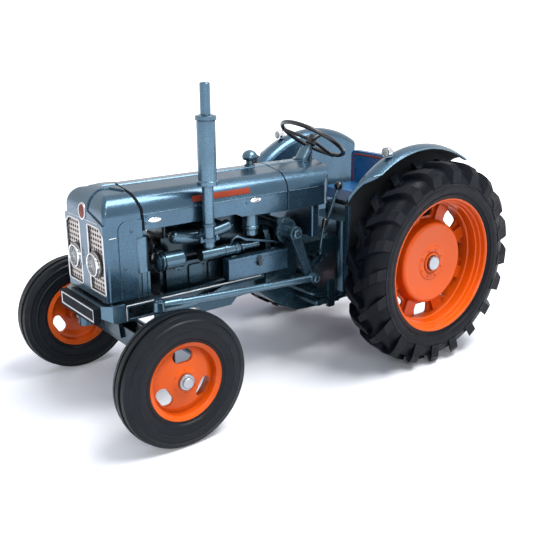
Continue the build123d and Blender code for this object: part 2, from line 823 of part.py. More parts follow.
# Headlamps seated on the grilles, with their glasses
lamp_turn = Axis((0, headlamp_y, headlamp_z), (1, 0, 0))
lamp_bowl = headlamp_radius - 0.9
with BuildPart() as headlamps:
    with BuildSketch(Plane(origin=(grille_face_x, headlamp_y, headlamp_z), x_dir=(1, 0, 0),
                           z_dir=(0, 0, 1))):
        with BuildLine():
            rim_back = headlamp_depth - headlamp_rim
            Polyline((0, 0), (0, lamp_bowl - 0.6), (rim_back, lamp_bowl + 0.2),
                     (rim_back, headlamp_radius), (headlamp_depth - 0.3, headlamp_radius),
                     (headlamp_depth, headlamp_radius - 0.4), (headlamp_depth, lamp_bowl),
                     (rim_back, lamp_bowl), (rim_back, 0), close=True)
        make_face()
    revolve(axis=lamp_turn)
    mirror(about=Plane.XZ)
write(headlamps.part, "headlamps")

glass_x = grille_face_x + headlamp_depth - headlamp_rim
glass_rise = 0.8
with BuildPart() as headlamp_glasses:
    with BuildSketch(Plane(origin=(glass_x, headlamp_y, headlamp_z), x_dir=(1, 0, 0),
                           z_dir=(0, 0, 1))):
        with BuildLine():
            glass_edge = lamp_bowl - 0.1
            Polyline((0, 0), (0, glass_edge), (0.5, glass_edge))
            dome_x, dome_y = dome_middle(glass_edge, glass_rise)
            ThreePointArc((0.5, glass_edge), (0.5 + dome_x, dome_y), (0.5 + glass_rise, 0))
            Polyline((0.5 + glass_rise, 0), (0, 0))
        make_face()
    revolve(axis=lamp_turn)
    mirror(about=Plane.XZ)
write(headlamp_glasses.part, "headlamp_glasses")

# Bonnet: an open shell over the engine, cut to the sloping seam and the stepped lower edge
with BuildPart() as bonnet:
    with BuildSketch(across(ax(tank_front) + panel_gap / 2, 0, 0)):
        add(hood_section(0, tank_low_z - 1, crease_step))
    extrude(amount=wheelbase)
    with BuildSketch(across(ax(tank_front) - 1, 0, 0)):
        add(hood_section(hood_skin, tank_low_z - 2))
    extrude(amount=wheelbase + 2, mode=Mode.SUBTRACT)
    add(side_prism([
        (ax(tank_front), hood_top + 2),
        (fx(seam_top) - panel_gap, hood_top + 2),
        *[(fx(x) - panel_gap, z) for x, z in seam_line],
        (ax(83.0), hood_low_z),
        (ax(80.0), hood_low_z - 1.4),
        (ax(tank_front), tank_low_z),
    ]), mode=Mode.INTERSECT)
    with BuildSketch(level(hood_top - 4)):
        with Locations((ax(cleaner_x), 0)):
            Circle(1.9)
    extrude(amount=6, mode=Mode.SUBTRACT)
write(bonnet.part, "bonnet")

# Fuel tank and dash cowl, closing the bonnet's line, with the bulkhead under it
dash_x = 35.4
dash_radius = 4.3
dash_seat_z = hood_top + 0.4
bulkhead_x = 40.2
bulkhead_depth = 4.4
bulkhead_half = 15.0
bulkhead_low_z = 57.0
with BuildPart() as fuel_tank:
    with BuildSketch(across(ax(tank_rear), 0, 0)):
        add(hood_section(0, tank_low_z, crease_step))
    extrude(amount=tank_front - tank_rear - panel_gap / 2)
    with BuildSketch(level(tank_low_z)):
        with Locations((ax((tank_rear + tank_front) / 2 + tank_rear_radius), 0)):
            RectangleRounded(tank_front - tank_rear + 2 * tank_rear_radius,
                             2 * (hood_half + crease_step), tank_rear_radius)
    extrude(amount=hood_top - tank_low_z, mode=Mode.INTERSECT)
    with BuildSketch(level(hood_top - 3)):
        with Locations((ax(dash_x), 0)):
            Circle(dash_radius)
    extrude(amount=dash_seat_z - hood_top + 3)
    with BuildSketch(level(tank_low_z)):
        with Locations((ax(bulkhead_x), 0)):
            RectangleRounded(bulkhead_depth, 2 * bulkhead_half, 1.0)
    extrude(amount=bulkhead_low_z - tank_low_z)
write(fuel_tank.part, "fuel_tank")

# Engine block with its sump, a narrower upper block and the timing cover at the front
upper_half = 7.4
shelf_z = 56.0
timing_depth = 2.0
block_length = block_front - block_rear
block_middle = (block_front + block_rear) / 2
cover_count = 4
cover_pitch = (block_length - 9.5) / cover_count
cover_z = 50.6
with BuildPart() as engine_block:
    with BuildSketch(level(block_low_z)):
        with Locations((ax(block_middle), 0)):
            Rectangle(block_length, 2 * block_half)
    extrude(amount=shelf_z - block_low_z)
    with BuildSketch(level(shelf_z)):
        with Locations((ax(block_middle), 0)):
            Rectangle(block_length, 2 * upper_half)
    extrude(amount=block_high_z - shelf_z)
    with BuildSketch(beside(sump_half)):
        with BuildLine():
            Polyline(
                (ax(block_rear), block_low_z),
                (ax(block_front), block_low_z),
                (ax(block_front - 2), sump_low_z),
                (ax(block_middle + 7.8), sump_low_z - 0.6),
                (ax(block_middle + 5.8), well_low_z),
                (ax(block_middle - 8.2), well_low_z),
                (ax(block_middle - 11.2), sump_low_z - 0.6),
                (ax(block_rear), sump_low_z),
                close=True,
            )
        make_face()
    extrude(amount=2 * sump_half)
    with BuildSketch(across(ax(block_front), 0, 0)):
        with Locations((0, (shelf_z + block_low_z) / 2 + 4)):
            RectangleRounded(2 * block_half - 3, block_high_z - block_low_z - 3, 3)
    extrude(amount=timing_depth)
    for side in (1, -1):
        with BuildSketch(beside(side * (block_half - 0.5))):
            with Locations((ax(block_middle - 3.75), cover_z)):
                with GridLocations(cover_pitch, 1, cover_count, 1):
                    RectangleRounded(cover_pitch * 0.7, 7.6, cover_pitch * 0.13)
        extrude(amount=-side * 1.3)
write(engine_block.part, "engine_block")

# Cylinder head with its rocker cover
head_low_z = block_high_z
head_rear = block_rear + 1.5
head_front = block_front - 1.5
head_deck_z = 73.0
with BuildPart() as cylinder_head:
    with BuildSketch(level(head_low_z)):
        with Locations((ax((head_front + head_rear) / 2), 0)):
            RectangleRounded(head_front - head_rear, 2 * upper_half - 0.4, 1.0)
    extrude(amount=head_deck_z - head_low_z)
    with BuildSketch(level(head_deck_z)):
        with Locations((ax((head_front + head_rear) / 2), 0)):
            RectangleRounded(head_front - head_rear - 5, 2 * upper_half - 5, 2.4)
    extrude(amount=head_high_z - head_deck_z)
write(cylinder_head.part, "cylinder_head")

# Manifolds: a curved exhaust log on four ports with a seat for the exhaust, and the inlet above it
log_radius = 2.5
log_y = 13.4
log_rear = 84.0
log_front = block_front - 1.0
exhaust_x = (log_rear + log_front) / 2 + 0.5
log_points = ((log_rear, 68.6), ((log_rear + log_front) / 2, 66.4), (log_front, 67.8))
port_radius = 1.5
port_count = 4
port_shares = [0.07 + 0.28 * count for count in range(port_count)]  # places along the log
inlet_rear = log_rear + 6.0
inlet_front = log_front - 3.0
inlet_y = 9.9
inlet_z = 71.9
inlet_radius = 1.6
exhaust_seat_y = log_y + log_radius + 0.4
exhaust_seat_z = 66.6
with BuildPart() as manifold:
    with BuildLine(beside(log_y)) as log_line:
        ThreePointArc(*[(ax(x), z) for x, z in log_points])
    with BuildSketch(Plane(origin=log_line.line @ 0, z_dir=log_line.line % 0)):
        Circle(log_radius)
    sweep(path=log_line.line)
    fillet(manifold.edges().filter_by(GeomType.CIRCLE), log_radius * 0.45)
    with BuildSketch(across(ax(inlet_rear), inlet_y, inlet_z)):
        Circle(inlet_radius)
    extrude(amount=inlet_front - inlet_rear)
    with BuildSketch(beside(upper_half)):
        with Locations((ax((inlet_rear + inlet_front) / 2), inlet_z - 0.6)):
            with GridLocations((inlet_front - inlet_rear) * 0.6, 1, 2, 1):
                Rectangle(3.0, 2.0)
    extrude(amount=upper_half - inlet_y)
    for share in port_shares:
        port = log_line.line @ share
        with BuildSketch(beside(upper_half)):
            with Locations((port.X, port.Z)):
                Circle(port_radius)
        extrude(amount=upper_half - log_y)
    with BuildSketch(beside(log_y)):
        with Locations((ax(exhaust_x), exhaust_seat_z)):
            Circle(2.6)
    extrude(amount=log_y - exhaust_seat_y)
write(manifold.part, "manifold")

# Exhaust: elbow, down pipe, muffler with two collars, and tail pipe
collar_radius = muffler_radius + 0.5
with BuildPart() as exhaust:
    with BuildSketch(Plane(origin=(ax(exhaust_x), exhaust_y, 0), x_dir=(1, 0, 0), z_dir=(0, -1, 0))):
        with BuildLine():
            Polyline(
                (0, exhaust_low_z),
                (down_radius - 0.5, exhaust_low_z),
                (down_radius, exhaust_low_z + 0.8),
                (down_radius, muffler_low_z - 1.2),
                (collar_radius, muffler_low_z - 0.8),
                (collar_radius, muffler_low_z + 0.6),
                (muffler_radius, muffler_low_z + 1.0),
                (muffler_radius, muffler_high_z - 1.0),
                (collar_radius, muffler_high_z - 0.6),
                (collar_radius, muffler_high_z + 0.8),
                (tail_radius, muffler_high_z + 1.4),
                (tail_radius, exhaust_high_z - 0.4),
                (tail_radius - 0.4, exhaust_high_z),
                (tail_radius - 0.7, exhaust_high_z),
                (tail_radius - 0.7, exhaust_high_z - 4),
                (0, exhaust_high_z - 4),
                close=True,
            )
        make_face()
    revolve(axis=Axis((ax(exhaust_x), exhaust_y, 0), (0, 0, 1)))
    with BuildSketch(beside(exhaust_seat_y)):
        with Locations((ax(exhaust_x), exhaust_seat_z)):
            Circle(2.6)
    extrude(amount=-0.8)
    with BuildSketch(beside(exhaust_seat_y)):
        with Locations((ax(exhaust_x), exhaust_seat_z)):
            Circle(down_radius - 0.2)
    extrude(amount=exhaust_seat_y - exhaust_y)
write(exhaust.part, "exhaust")

# Air cleaner: oil bowl beside the engine, and the pre-cleaner standing on the bonnet
bowl_x = block_rear + 6.0
bowl_y = 11.6
bowl_radius = 3.6
bowl_low_z = 61.4
bowl_high_z = 74.0
with BuildPart() as air_cleaner:
    with BuildSketch(Plane(origin=(ax(bowl_x), bowl_y, 0), x_dir=(1, 0, 0), z_dir=(0, -1, 0))):
        with BuildLine():
            Polyline((0, bowl_low_z), (2.0, bowl_low_z), (bowl_radius - 0.5, bowl_low_z + 1.0),
                     (bowl_radius - 0.5, bowl_low_z + 3.2), (bowl_radius, bowl_low_z + 3.6),
                     (bowl_radius, bowl_low_z + 4.6), (bowl_radius - 0.3, bowl_low_z + 5.0),
                     (bowl_radius - 0.3, bowl_high_z), (0, bowl_high_z), close=True)
        make_face()
    revolve(axis=Axis((ax(bowl_x), bowl_y, 0), (0, 0, 1)))
    with BuildSketch(level(bowl_high_z - 3)):
        with Locations((ax(bowl_x), (bowl_y + upper_half - 0.2) / 2)):
            Rectangle(3.0, bowl_y - upper_half + 0.2)
    extrude(amount=1.5)
    with BuildSketch(Plane(origin=(ax(cleaner_x), 0, 0), x_dir=(1, 0, 0), z_dir=(0, -1, 0))):
        with BuildLine():
            Polyline((0, hood_top), (2.3, hood_top), (2.3, hood_top + 0.5), (1.65, hood_top + 0.7),
                     (1.65, hood_top + 2.2), (3.0, hood_top + 2.6), (3.3, hood_top + 3.6),
                     (3.1, hood_top + 4.6))
            dome_z, dome_x = dome_middle(3.1, 1.9)
            ThreePointArc((3.1, hood_top + 4.6), (dome_x, hood_top + 4.6 + dome_z),
                          (0, hood_top + 6.5))
            Polyline((0, hood_top + 6.5), (0, hood_top))
        make_face()
    revolve(axis=Axis((ax(cleaner_x), 0, 0), (0, 0, 1)))
write(air_cleaner.part, "air_cleaner")

# Dynamo on its bracket
dynamo_front = block_front + 6.6
dynamo_rear = block_front - 5.5
dynamo_radius = 3.4
dynamo_y = block_half + dynamo_radius + 0.3
dynamo_z = 59.0
with BuildPart() as dynamo:
    with BuildSketch(beside(0)):
        with BuildLine():
            Polyline(
                (ax(dynamo_rear), 0),
                (ax(dynamo_rear), dynamo_radius - 0.6),
                (ax(dynamo_rear + 0.8), dynamo_radius),
                (ax(dynamo_front - 3.4), dynamo_radius),
                (ax(dynamo_front - 3.2), dynamo_radius - 0.5),
                (ax(dynamo_front - 2.4), dynamo_radius - 0.5),
                (ax(dynamo_front - 2.2), dynamo_radius + 0.5),
                (ax(dynamo_front - 1.4), dynamo_radius - 0.7),
                (ax(dynamo_front - 0.6), dynamo_radius + 0.5),
                (ax(dynamo_front), dynamo_radius - 1.4),
                (ax(dynamo_front), 0),
                close=True,
            )
        make_face()
    revolve(axis=Axis.X)
dynamo_placed = Location((0, dynamo_y, dynamo_z)) * dynamo.part
with BuildPart() as dynamo_set:
    add(dynamo_placed)
    with BuildSketch(level(dynamo_z - 1.5)):
        with Locations((ax(dynamo_rear + 2.1), (block_half + dynamo_y) / 2)):
            Rectangle(3.0, dynamo_y - block_half)
    extrude(amount=-2.6)
write(dynamo_set.part, "dynamo")

# Injection pump on the block's shelf, with its feed pipe back to the steering box
pump_y = 13.2
pump_z = 58.1
pump_radius = 2.35
pump_rear = block_rear + 3.5
pump_front = dynamo_rear - 8.5
pump_length = pump_front - pump_rear
pump_neck = pump_rear + pump_length * 0.36
pump_middle = (pump_rear + pump_front) / 2
ring_width = 1.2
pump_table = ((pump_neck, pump_front, pump_radius),
              (pump_neck + 1, pump_neck + 1 + ring_width, pump_radius + 0.25),
              (pump_middle + 2, pump_middle + 2 + ring_width, pump_radius + 0.25),
              (pump_rear, pump_neck, 1.3),
              (pump_neck - 2 * ring_width, pump_neck - ring_width, 1.8))
pipe_points = ((pump_middle, pump_y, 59.6), (pump_middle - 0.6, 15.9, 64.6),
               (pump_middle - 6, 15.9, 61.8), (60.0, 15.0, 57.6))
pipe_radius = 0.5
with BuildPart() as injection_pump:
    for start, end, radius in pump_table:
        with BuildSketch(across(ax(start), pump_y, pump_z)):
            Circle(radius)
        extrude(amount=end - start)
    with BuildSketch(level(pump_z)):
        with Locations((ax((pump_middle + pump_front) / 2), (block_half + pump_y) / 2)):
            Rectangle(pump_length * 0.2, pump_y - block_half)
    extrude(amount=-2.0)
    add(rod_through(pipe_points, pipe_radius))
write(injection_pump.part, "injection_pump")

# Fan and its hub on the front of the timing cover
fan_x = block_front + timing_depth
fan_z = 63.0
fan_reach = 9.0
with BuildPart() as fan:
    with BuildSketch(across(ax(fan_x), 0, fan_z)):
        Circle(3.4)
    extrude(amount=1.6)
    with BuildSketch(across(ax(fan_x) + 1.6, 0, fan_z)):
        Circle(2.2)
        with PolarLocations(fan_reach / 2, 4):
            Rectangle(fan_reach, 3.2)
    extrude(amount=0.8)
write(fan.part, "fan")

# Radiator standing on the casting: round side tanks behind the cowl's edge, ribbed below a band
radiator_rear = -6.2
radiator_front = 0.6
radiator_half = hood_half - nose_skin - 0.2
radiator_core_half = 12.6
radiator_tank_z = 70.0
radiator_band_z = 56.4
radiator_high_z = 79.0
rib_count = 3
radiator_x = fx((radiator_front + radiator_rear) / 2)
radiator_depth = radiator_front - radiator_rear
with BuildPart() as radiator:
    with BuildSketch(level(casting_high_z)):
        with Locations((radiator_x, 0)):
            Rectangle(radiator_depth - 0.4, 2 * radiator_core_half)
    extrude(amount=radiator_high_z - casting_high_z)
    with BuildSketch(level(radiator_band_z)):
        with Locations((radiator_x, 0)):
            RectangleRounded(radiator_depth, 2 * radiator_half, 2.3)
    extrude(amount=radiator_tank_z - radiator_band_z)
    with BuildSketch(level(casting_high_z)):
        with Locations((radiator_x, 0)):
            Rectangle(radiator_depth - 0.6, 2 * radiator_half - 1.0)
        for side in (1, -1):
            with Locations((radiator_x, side * (radiator_half - 0.5))):
                with GridLocations(radiator_depth / rib_count, 1, rib_count, 1):
                    Rectangle(0.8, 0.8)
    extrude(amount=radiator_band_z - casting_high_z)
    with BuildSketch(across(fx(radiator_rear), 0, (casting_high_z + radiator_high_z) / 2)):
        Rectangle(2 * radiator_core_half - 1, radiator_high_z - casting_high_z - 9)
    extrude(amount=1.0, mode=Mode.SUBTRACT)
    with BuildSketch(across(fx(radiator_rear) + 1.0, 0, (casting_high_z + radiator_high_z) / 2)):
        with GridLocations(3.2, 1, 7, 1):
            Rectangle(1.4, radiator_high_z - casting_high_z - 9)
    extrude(amount=-0.7)
write(radiator.part, "radiator")

# Transmission: gearbox, bell flange, rear centre housing and the axle trumpets
bell_rear = 48.0
bell_middle_z = 50.4
bell_height = 30.0
gearbox_high_z = case_high_z - 7.0
box_seat_radius = 4.4
centre_front = 23.0
centre_rear = -14.0
trumpet_root = 10.5
link_pin_radius = 1.3
with BuildPart() as transmission_case:
    with BuildSketch(beside(case_half)):
        with BuildLine():
            Polyline(
                (ax(centre_rear), case_low_z),
                (ax(6.0), case_low_z),
                (ax(26.0), 21.5),
                (ax(46.0), 22.6),
                (ax(58.0), 28.6),
                (ax(block_rear), 35.0),
                (ax(block_rear), block_high_z),
                (ax(bell_rear), block_high_z - 3),
                (ax(bell_rear - 6), gearbox_high_z),
                (ax(centre_rear), gearbox_high_z),
                close=True,
            )
        make_face()
    extrude(amount=2 * case_half)
    fillet(transmission_case.edges().filter_by(Axis.X).group_by(Axis.Z)[0], 2.0)
    with BuildSketch(across(ax(block_rear), 0, 0)):
        with Locations((0, bell_middle_z)):
            RectangleRounded(2 * bell_half, bell_height, 7.0)
    extrude(amount=-2.6)
    with BuildSketch(across(ax(bell_rear), 0, 0)):
        with Locations((0, bell_middle_z - 1.4)):
            RectangleRounded(2 * bell_half - 5, bell_height - 4, 6.0)
    extrude(amount=block_rear - bell_rear - 2.6)
    with BuildSketch(beside(bell_half)):
        with Locations((ax(drop_pivot[0]), drop_pivot[1])):
            Circle(box_seat_radius)
        with Locations((ax(drop_pivot[0]), drop_pivot[1] - 3)):
            Rectangle(2 * box_seat_radius, 6.0)
    extrude(amount=bell_half)
    with BuildSketch(level(case_low_z)):
        with Locations((ax((centre_front + centre_rear) / 2), 0)):
            RectangleRounded(centre_front - centre_rear, 2 * centre_half, 4.0)
    extrude(amount=case_high_z - case_low_z)
    with BuildSketch(across(rear_axle_x, 0, rear_tyre_radius)):
        with BuildLine():
            Polyline(
                (0, trumpet_root),
                (centre_half + 2.5, trumpet_root),
                (centre_half + 3.2, trumpet_radius),
                (trumpet_reach - 6.0, trumpet_radius - 1.2),
                (trumpet_reach - 1.6, trumpet_radius - 2.4),
                (trumpet_reach, trumpet_radius - 3.4),
                (trumpet_reach, 0),
                (0, 0),
            )
            mirror(about=Plane.YZ)
        make_face()
    revolve(axis=rear_turn)
    for radius, reach in ((2.6, link_y - link_width / 2 - side_gap),
                          (link_pin_radius, link_y + link_width / 2 + side_gap + 0.2)):
        with BuildSketch(beside(reach)):
            with Locations((ax(link_pivot[0]), link_pivot[1])):
                Circle(radius)
        extrude(amount=2 * reach)
    for side in (1, -1):
        with BuildSketch(beside(side * (link_y + link_width / 2 + side_gap))):
            with Locations((ax(link_pivot[0]), link_pivot[1])):
                Circle(link_pin_radius + 0.8)
        extrude(amount=-side * 1.0)
write(transmission_case.part, "transmission_case")

# Hydraulic cover on the rear housing, with the lift shaft's bearings and the top link's bracket
bracket_x = centre_rear - 5.0
bracket_z = case_high_z - 5.0
bracket_half = 2.0
shaft_x = ax(shaft_pivot[0])
shaft_z = shaft_pivot[1]
shaft_radius = 1.6
bearing_inner_y = 7.4
bearing_outer_y = 11.0
with BuildPart() as hydraulic_cover:
    with BuildSketch(level(case_high_z)):
        with Locations((ax(1.0), 0)):
            RectangleRounded(24.0, 2 * centre_half - 4, 2.0)
    extrude(amount=cover_high_z - case_high_z - 0.4)
    with BuildSketch(level(case_high_z)):
        with Locations((ax(centre_rear + 2), 0)):
            Rectangle(4.0, 2 * bearing_inner_y + 1)
    extrude(amount=1.6)
    for side in (1, -1):
        with BuildSketch(beside(side * bearing_outer_y)):
            with BuildLine():
                Polyline((ax(centre_rear), case_high_z), (ax(-9.6), case_high_z),
                         (ax(-9.6), shaft_z + 2.4), (shaft_x - 2.4, shaft_z + 2.4),
                         (shaft_x - 2.8, shaft_z + 1.6), (shaft_x - 2.8, shaft_z - 1.6),
                         close=True)
            make_face()
        extrude(amount=side * (bearing_outer_y - bearing_inner_y))
    with BuildSketch(beside(bearing_outer_y + 1)):
        with Locations((shaft_x, shaft_z)):
            Circle(shaft_radius + pin_gap)
    extrude(amount=2 * bearing_outer_y + 2, mode=Mode.SUBTRACT)
    with BuildSketch(beside(bracket_half)):
        with BuildLine():
            Polyline((ax(centre_rear), bracket_z - 3.6), (ax(centre_rear), case_high_z + 1.2),
                     (ax(centre_rear - 2.4), case_high_z - 1), (ax(bracket_x) - 1.6, bracket_z + 1.4),
                     (ax(bracket_x) - 1.6, bracket_z - 1.8), close=True)
        make_face()
        with Locations((ax(bracket_x), bracket_z)):
            Circle(eye_radius + pin_gap, mode=Mode.SUBTRACT)
    extrude(amount=2 * bracket_half)
write(hydraulic_cover.part, "hydraulic_cover")

# Steering box on the bell housing: body, round side flange and the cross shaft's end
pivot_x = ax(drop_pivot[0])
pivot_z = drop_pivot[1]
flange_y = 15.6
drop_pin_radius = 1.3
with BuildPart() as steering_box:
    with BuildSketch(beside(bell_half)):
        with Locations((pivot_x, pivot_z)):
            Circle(box_seat_radius)
        with Locations((pivot_x + 0.6, pivot_z + 2.6)):
            RectangleRounded(6.8, 5.6, 1.0)
    extrude(amount=bell_half - flange_y)
    with BuildSketch(beside(flange_y)):
        with Locations((pivot_x, pivot_z)):
            Circle(5.2)
    extrude(amount=-1.0)
    with BuildSketch(beside(flange_y)):
        with Locations((pivot_x, pivot_z)):
            Circle(2.4)
    extrude(amount=flange_y - drop_arm_y + side_gap)
    with BuildSketch(beside(flange_y)):
        with Locations((pivot_x, pivot_z)):
            Circle(drop_pin_radius)
    extrude(amount=flange_y - drop_arm_y - 3.4)
write(steering_box.part, "steering_box")

# Drop arm: boss on the cross shaft, tapering down to the drag link's pin
arm_thickness = 1.8
drop_boss = 3.0
drop_end = 1.9
drop_x = ax(drop_ball[0])
drop_z = drop_ball[1]
drop_reach = Vector(drop_ball[0] - drop_pivot[0], drop_ball[1] - drop_pivot[1])
drop_side = Vector(-drop_reach.Y, drop_reach.X).normalized()
ball_pin_radius = 0.9
with BuildPart() as drop_arm:
    arm_plane = Plane(origin=(pivot_x, drop_arm_y, pivot_z), x_dir=(1, 0, 0), z_dir=(0, -1, 0))
    with BuildSketch(arm_plane):
        with BuildLine():
            Polyline(drop_side * 2.4, drop_reach + drop_side * 1.5, drop_reach - drop_side * 1.5,
                     drop_side * -2.4, close=True)
        make_face()
        Circle(drop_boss)
        with Locations(drop_reach):
            Circle(drop_end)
    extrude(amount=-arm_thickness)
    with BuildSketch(arm_plane):
        Circle(drop_boss)
    extrude(amount=-arm_thickness - 0.8)
    with BuildSketch(arm_plane):
        with Locations(drop_reach):
            Circle(ball_pin_radius)
    extrude(amount=-arm_thickness - 4.2)
    with BuildSketch(arm_plane.offset(1)):
        Circle(drop_pin_radius + pin_gap)
    extrude(amount=-arm_thickness - 4, mode=Mode.SUBTRACT)
write(drop_arm.part, "drop_arm")

# Drag link: eye on the drop arm's pin, tube forward to the socket over the knuckle's arm
link_eye_y = drop_arm_y + arm_thickness + 0.4
link_eye_length = 3.2
socket_low_z = steer_arm_z + steer_arm_thickness + 0.3
socket_height = 3.6
drag_rear = Vector(drop_x, link_eye_y + link_eye_length / 2, drop_z)
drag_front = Vector(ball_x, ball_y, socket_low_z + socket_height / 2)
drag_way = (drag_front - drag_rear).normalized()
drag_span = (drag_front - drag_rear).length
with BuildPart() as drag_link:
    with BuildSketch(Plane(origin=drag_rear, z_dir=drag_way)):
        Circle(drag_radius)
    extrude(amount=drag_span)
    with BuildSketch(Plane(origin=drag_front - drag_way * 9, z_dir=drag_way)):
        Circle(drag_radius + 0.45)
    extrude(amount=7.5)
    with BuildSketch(beside(link_eye_y)):
        with Locations((drop_x, drop_z)):
            Circle(2.2)
    extrude(amount=-link_eye_length)
    with BuildSketch(level(socket_low_z)):
        with Locations((ball_x, ball_y)):
            Circle(socket_radius)
    extrude(amount=socket_height)
    with BuildSketch(level(socket_low_z + socket_height)):
        with Locations((ball_x, ball_y)):
            Circle(socket_radius - 0.6)
    extrude(amount=0.8)
    with BuildSketch(beside(link_eye_y - 1)):
        with Locations((drop_x, drop_z)):
            Circle(ball_pin_radius + pin_gap)
    extrude(amount=-link_eye_length - 2, mode=Mode.SUBTRACT)
write(drag_link.part, "drag_link")

# Steering column rising from the stepped, round instrument housing on the tank
column_axis = Vector(-sin(radians(column_tilt)), 0, cos(radians(column_tilt)))
wheel_middle = Vector(ax(wheel_centre[0]), 0, wheel_centre[1])
hub_low = 2.6
column_foot = (wheel_centre[1] - dash_seat_z) / column_axis.Z
column_pin_radius = 1.0
dash_steps = ((3.3, 3.4), (2.5, 4.4))  # radius, and how far its top stands above the seat


def along_column(distance):
    """Plane square to the column, a distance below the steering wheel's middle."""
    return Plane(origin=wheel_middle - column_axis * distance, x_dir=(0, 1, 0), z_dir=column_axis)


with BuildPart() as steering_column:
    with BuildSketch(along_column(column_foot)):
        Circle(column_radius)
    extrude(amount=column_foot - hub_low - side_gap)
    for radius, rise in dash_steps:
        with BuildSketch(along_column(column_foot + 3)):
            Circle(radius)
        extrude(amount=3 + rise)
    with BuildSketch(level(dash_seat_z)):
        with Locations((ax(dash_x), 0)):
            Circle(dash_radius)
    extrude(amount=12, mode=Mode.INTERSECT)
    with BuildSketch(along_column(hub_low + side_gap + 1)):
        Circle(column_radius)
    extrude(amount=1)
    with BuildSketch(along_column(hub_low + side_gap)):
        Circle(column_pin_radius)
    extrude(amount=hub_low + side_gap + 0.2)
write(steering_column.part, "steering_column")

# Steering wheel: rim, three spokes and a domed hub turning on the column's pin
spoke_radius = 0.75
wheel_hub_radius = 2.3
ring_radius = wheel_radius - wheel_rim
with BuildPart() as steering_wheel:
    with BuildSketch(Plane(origin=wheel_middle, x_dir=(0, 1, 0),
                           z_dir=column_axis.cross(Vector(0, 1, 0)))):
        with Locations((ring_radius, 0)):
            Circle(wheel_rim)
    revolve(axis=Axis(wheel_middle, column_axis))
    with BuildSketch(along_column(hub_low)):
        Circle(wheel_hub_radius)
    extrude(amount=hub_low + 1.4, taper=4)
    for turn in (90, 210, 330):
        spoke_way = Vector(0, 1, 0).rotate(Axis((0, 0, 0), column_axis), turn)
        spoke_root = wheel_middle - column_axis * 0.6
        with BuildSketch(Plane(origin=spoke_root, z_dir=spoke_way)):
            Circle(spoke_radius)
        extrude(amount=ring_radius)
    with BuildSketch(along_column(hub_low + 1)):
        Circle(column_pin_radius + pin_gap)
    extrude(amount=hub_low + 4, mode=Mode.SUBTRACT)
write(steering_wheel.part, "steering_wheel")

# Toolbox on the left, with its lid and hasp
box_front = 88.0
box_rear = 58.5
box_inner_y = 14.1
box_outer_y = 18.3
box_low_z = rail_high_z + 0.6
box_lid_z = 54.2
box_high_z = 55.4
box_foot_y = 16.0
with BuildPart() as toolbox:
    with BuildSketch(level(box_low_z)):
        with Locations((ax((box_front + box_rear) / 2), (box_inner_y + box_outer_y) / 2)):
            Rectangle(box_front - box_rear, box_outer_y - box_inner_y)
    extrude(amount=box_lid_z - box_low_z)
    with BuildSketch(level(box_lid_z)):
        with Locations((ax((box_front + box_rear) / 2), (box_inner_y + box_outer_y) / 2 + 0.15)):
            RectangleRounded(box_front - box_rear + 0.6, box_outer_y - box_inner_y + 0.3, 0.5)
    extrude(amount=box_high_z - box_lid_z)
    with BuildSketch(beside(box_outer_y)):
        with Locations((ax((box_front + box_rear) / 2), box_lid_z - 0.6)):
            RectangleRounded(1.8, 3.4, 0.5)
    extrude(amount=-0.6)
    with BuildSketch(level(rail_high_z)):
        with Locations((ax(box_front - 5), box_foot_y), (ax(rail_rear + 2), box_foot_y)):
            Rectangle(4, 3)
    extrude(amount=box_low_z - rail_high_z)
write(toolbox.part, "toolbox")

# Seat on its bracket over the hydraulic cover: a square cushion and an upright back
cushion_low_z = seat_top_z - seat_thickness
with BuildPart() as seat_bracket:
    with BuildSketch(level(cover_high_z - 0.4)):
        with Locations((ax((seat_front + seat_rear) / 2 - 1), 0)):
            RectangleRounded(seat_front - seat_rear - 3, 14.0, 1.0)
    extrude(amount=cushion_low_z - cover_high_z + 0.4)
write(seat_bracket.part, "seat_bracket")

with BuildPart() as seat:
    with BuildSketch(level(cushion_low_z)):
        with Locations((ax((seat_front + seat_rear) / 2), 0)):
            RectangleRounded(seat_front - seat_rear, 2 * seat_half, 2.0)
    extrude(amount=seat_thickness)
    fillet(seat.edges().group_by(Axis.Z)[-1], 1.0)
    with BuildSketch(across(ax(seat_rear) - backrest_thickness, 0, 0)):
        with Locations((0, (cushion_low_z + backrest_top_z) / 2)):
            RectangleRounded(2 * seat_half, backrest_top_z - cushion_low_z, 2.4)
    extrude(amount=backrest_thickness + 0.4)
write(seat.part, "seat")

# Fenders: an upright plate inside each wheel, and a crown over it that widens towards the top
axle_z = rear_tyre_radius
crown_root = fender_radius - 3.4
crown_lip = fender_radius - 1.6
crown_peak_y = fender_y + 5.4
widening = 11.0  # length along the tractor over which the crown comes to full width
end_turn = radians(fender_end_angle)
fender_flange = 1.0
flange_reach = (trumpet_reach - 1.6 - fender_y + fender_flange) / 4.4  # share of the trumpet's taper
fender_hole = trumpet_radius - 2.4 + 1.2 * flange_reach + 0.02


def fender_point(radius, angle):
    """Side view of a point on the fender's circle, from an angle above straight ahead."""
    return (rear_axle_x + radius * cos(radians(angle)), axle_z + radius * sin(radians(angle)))


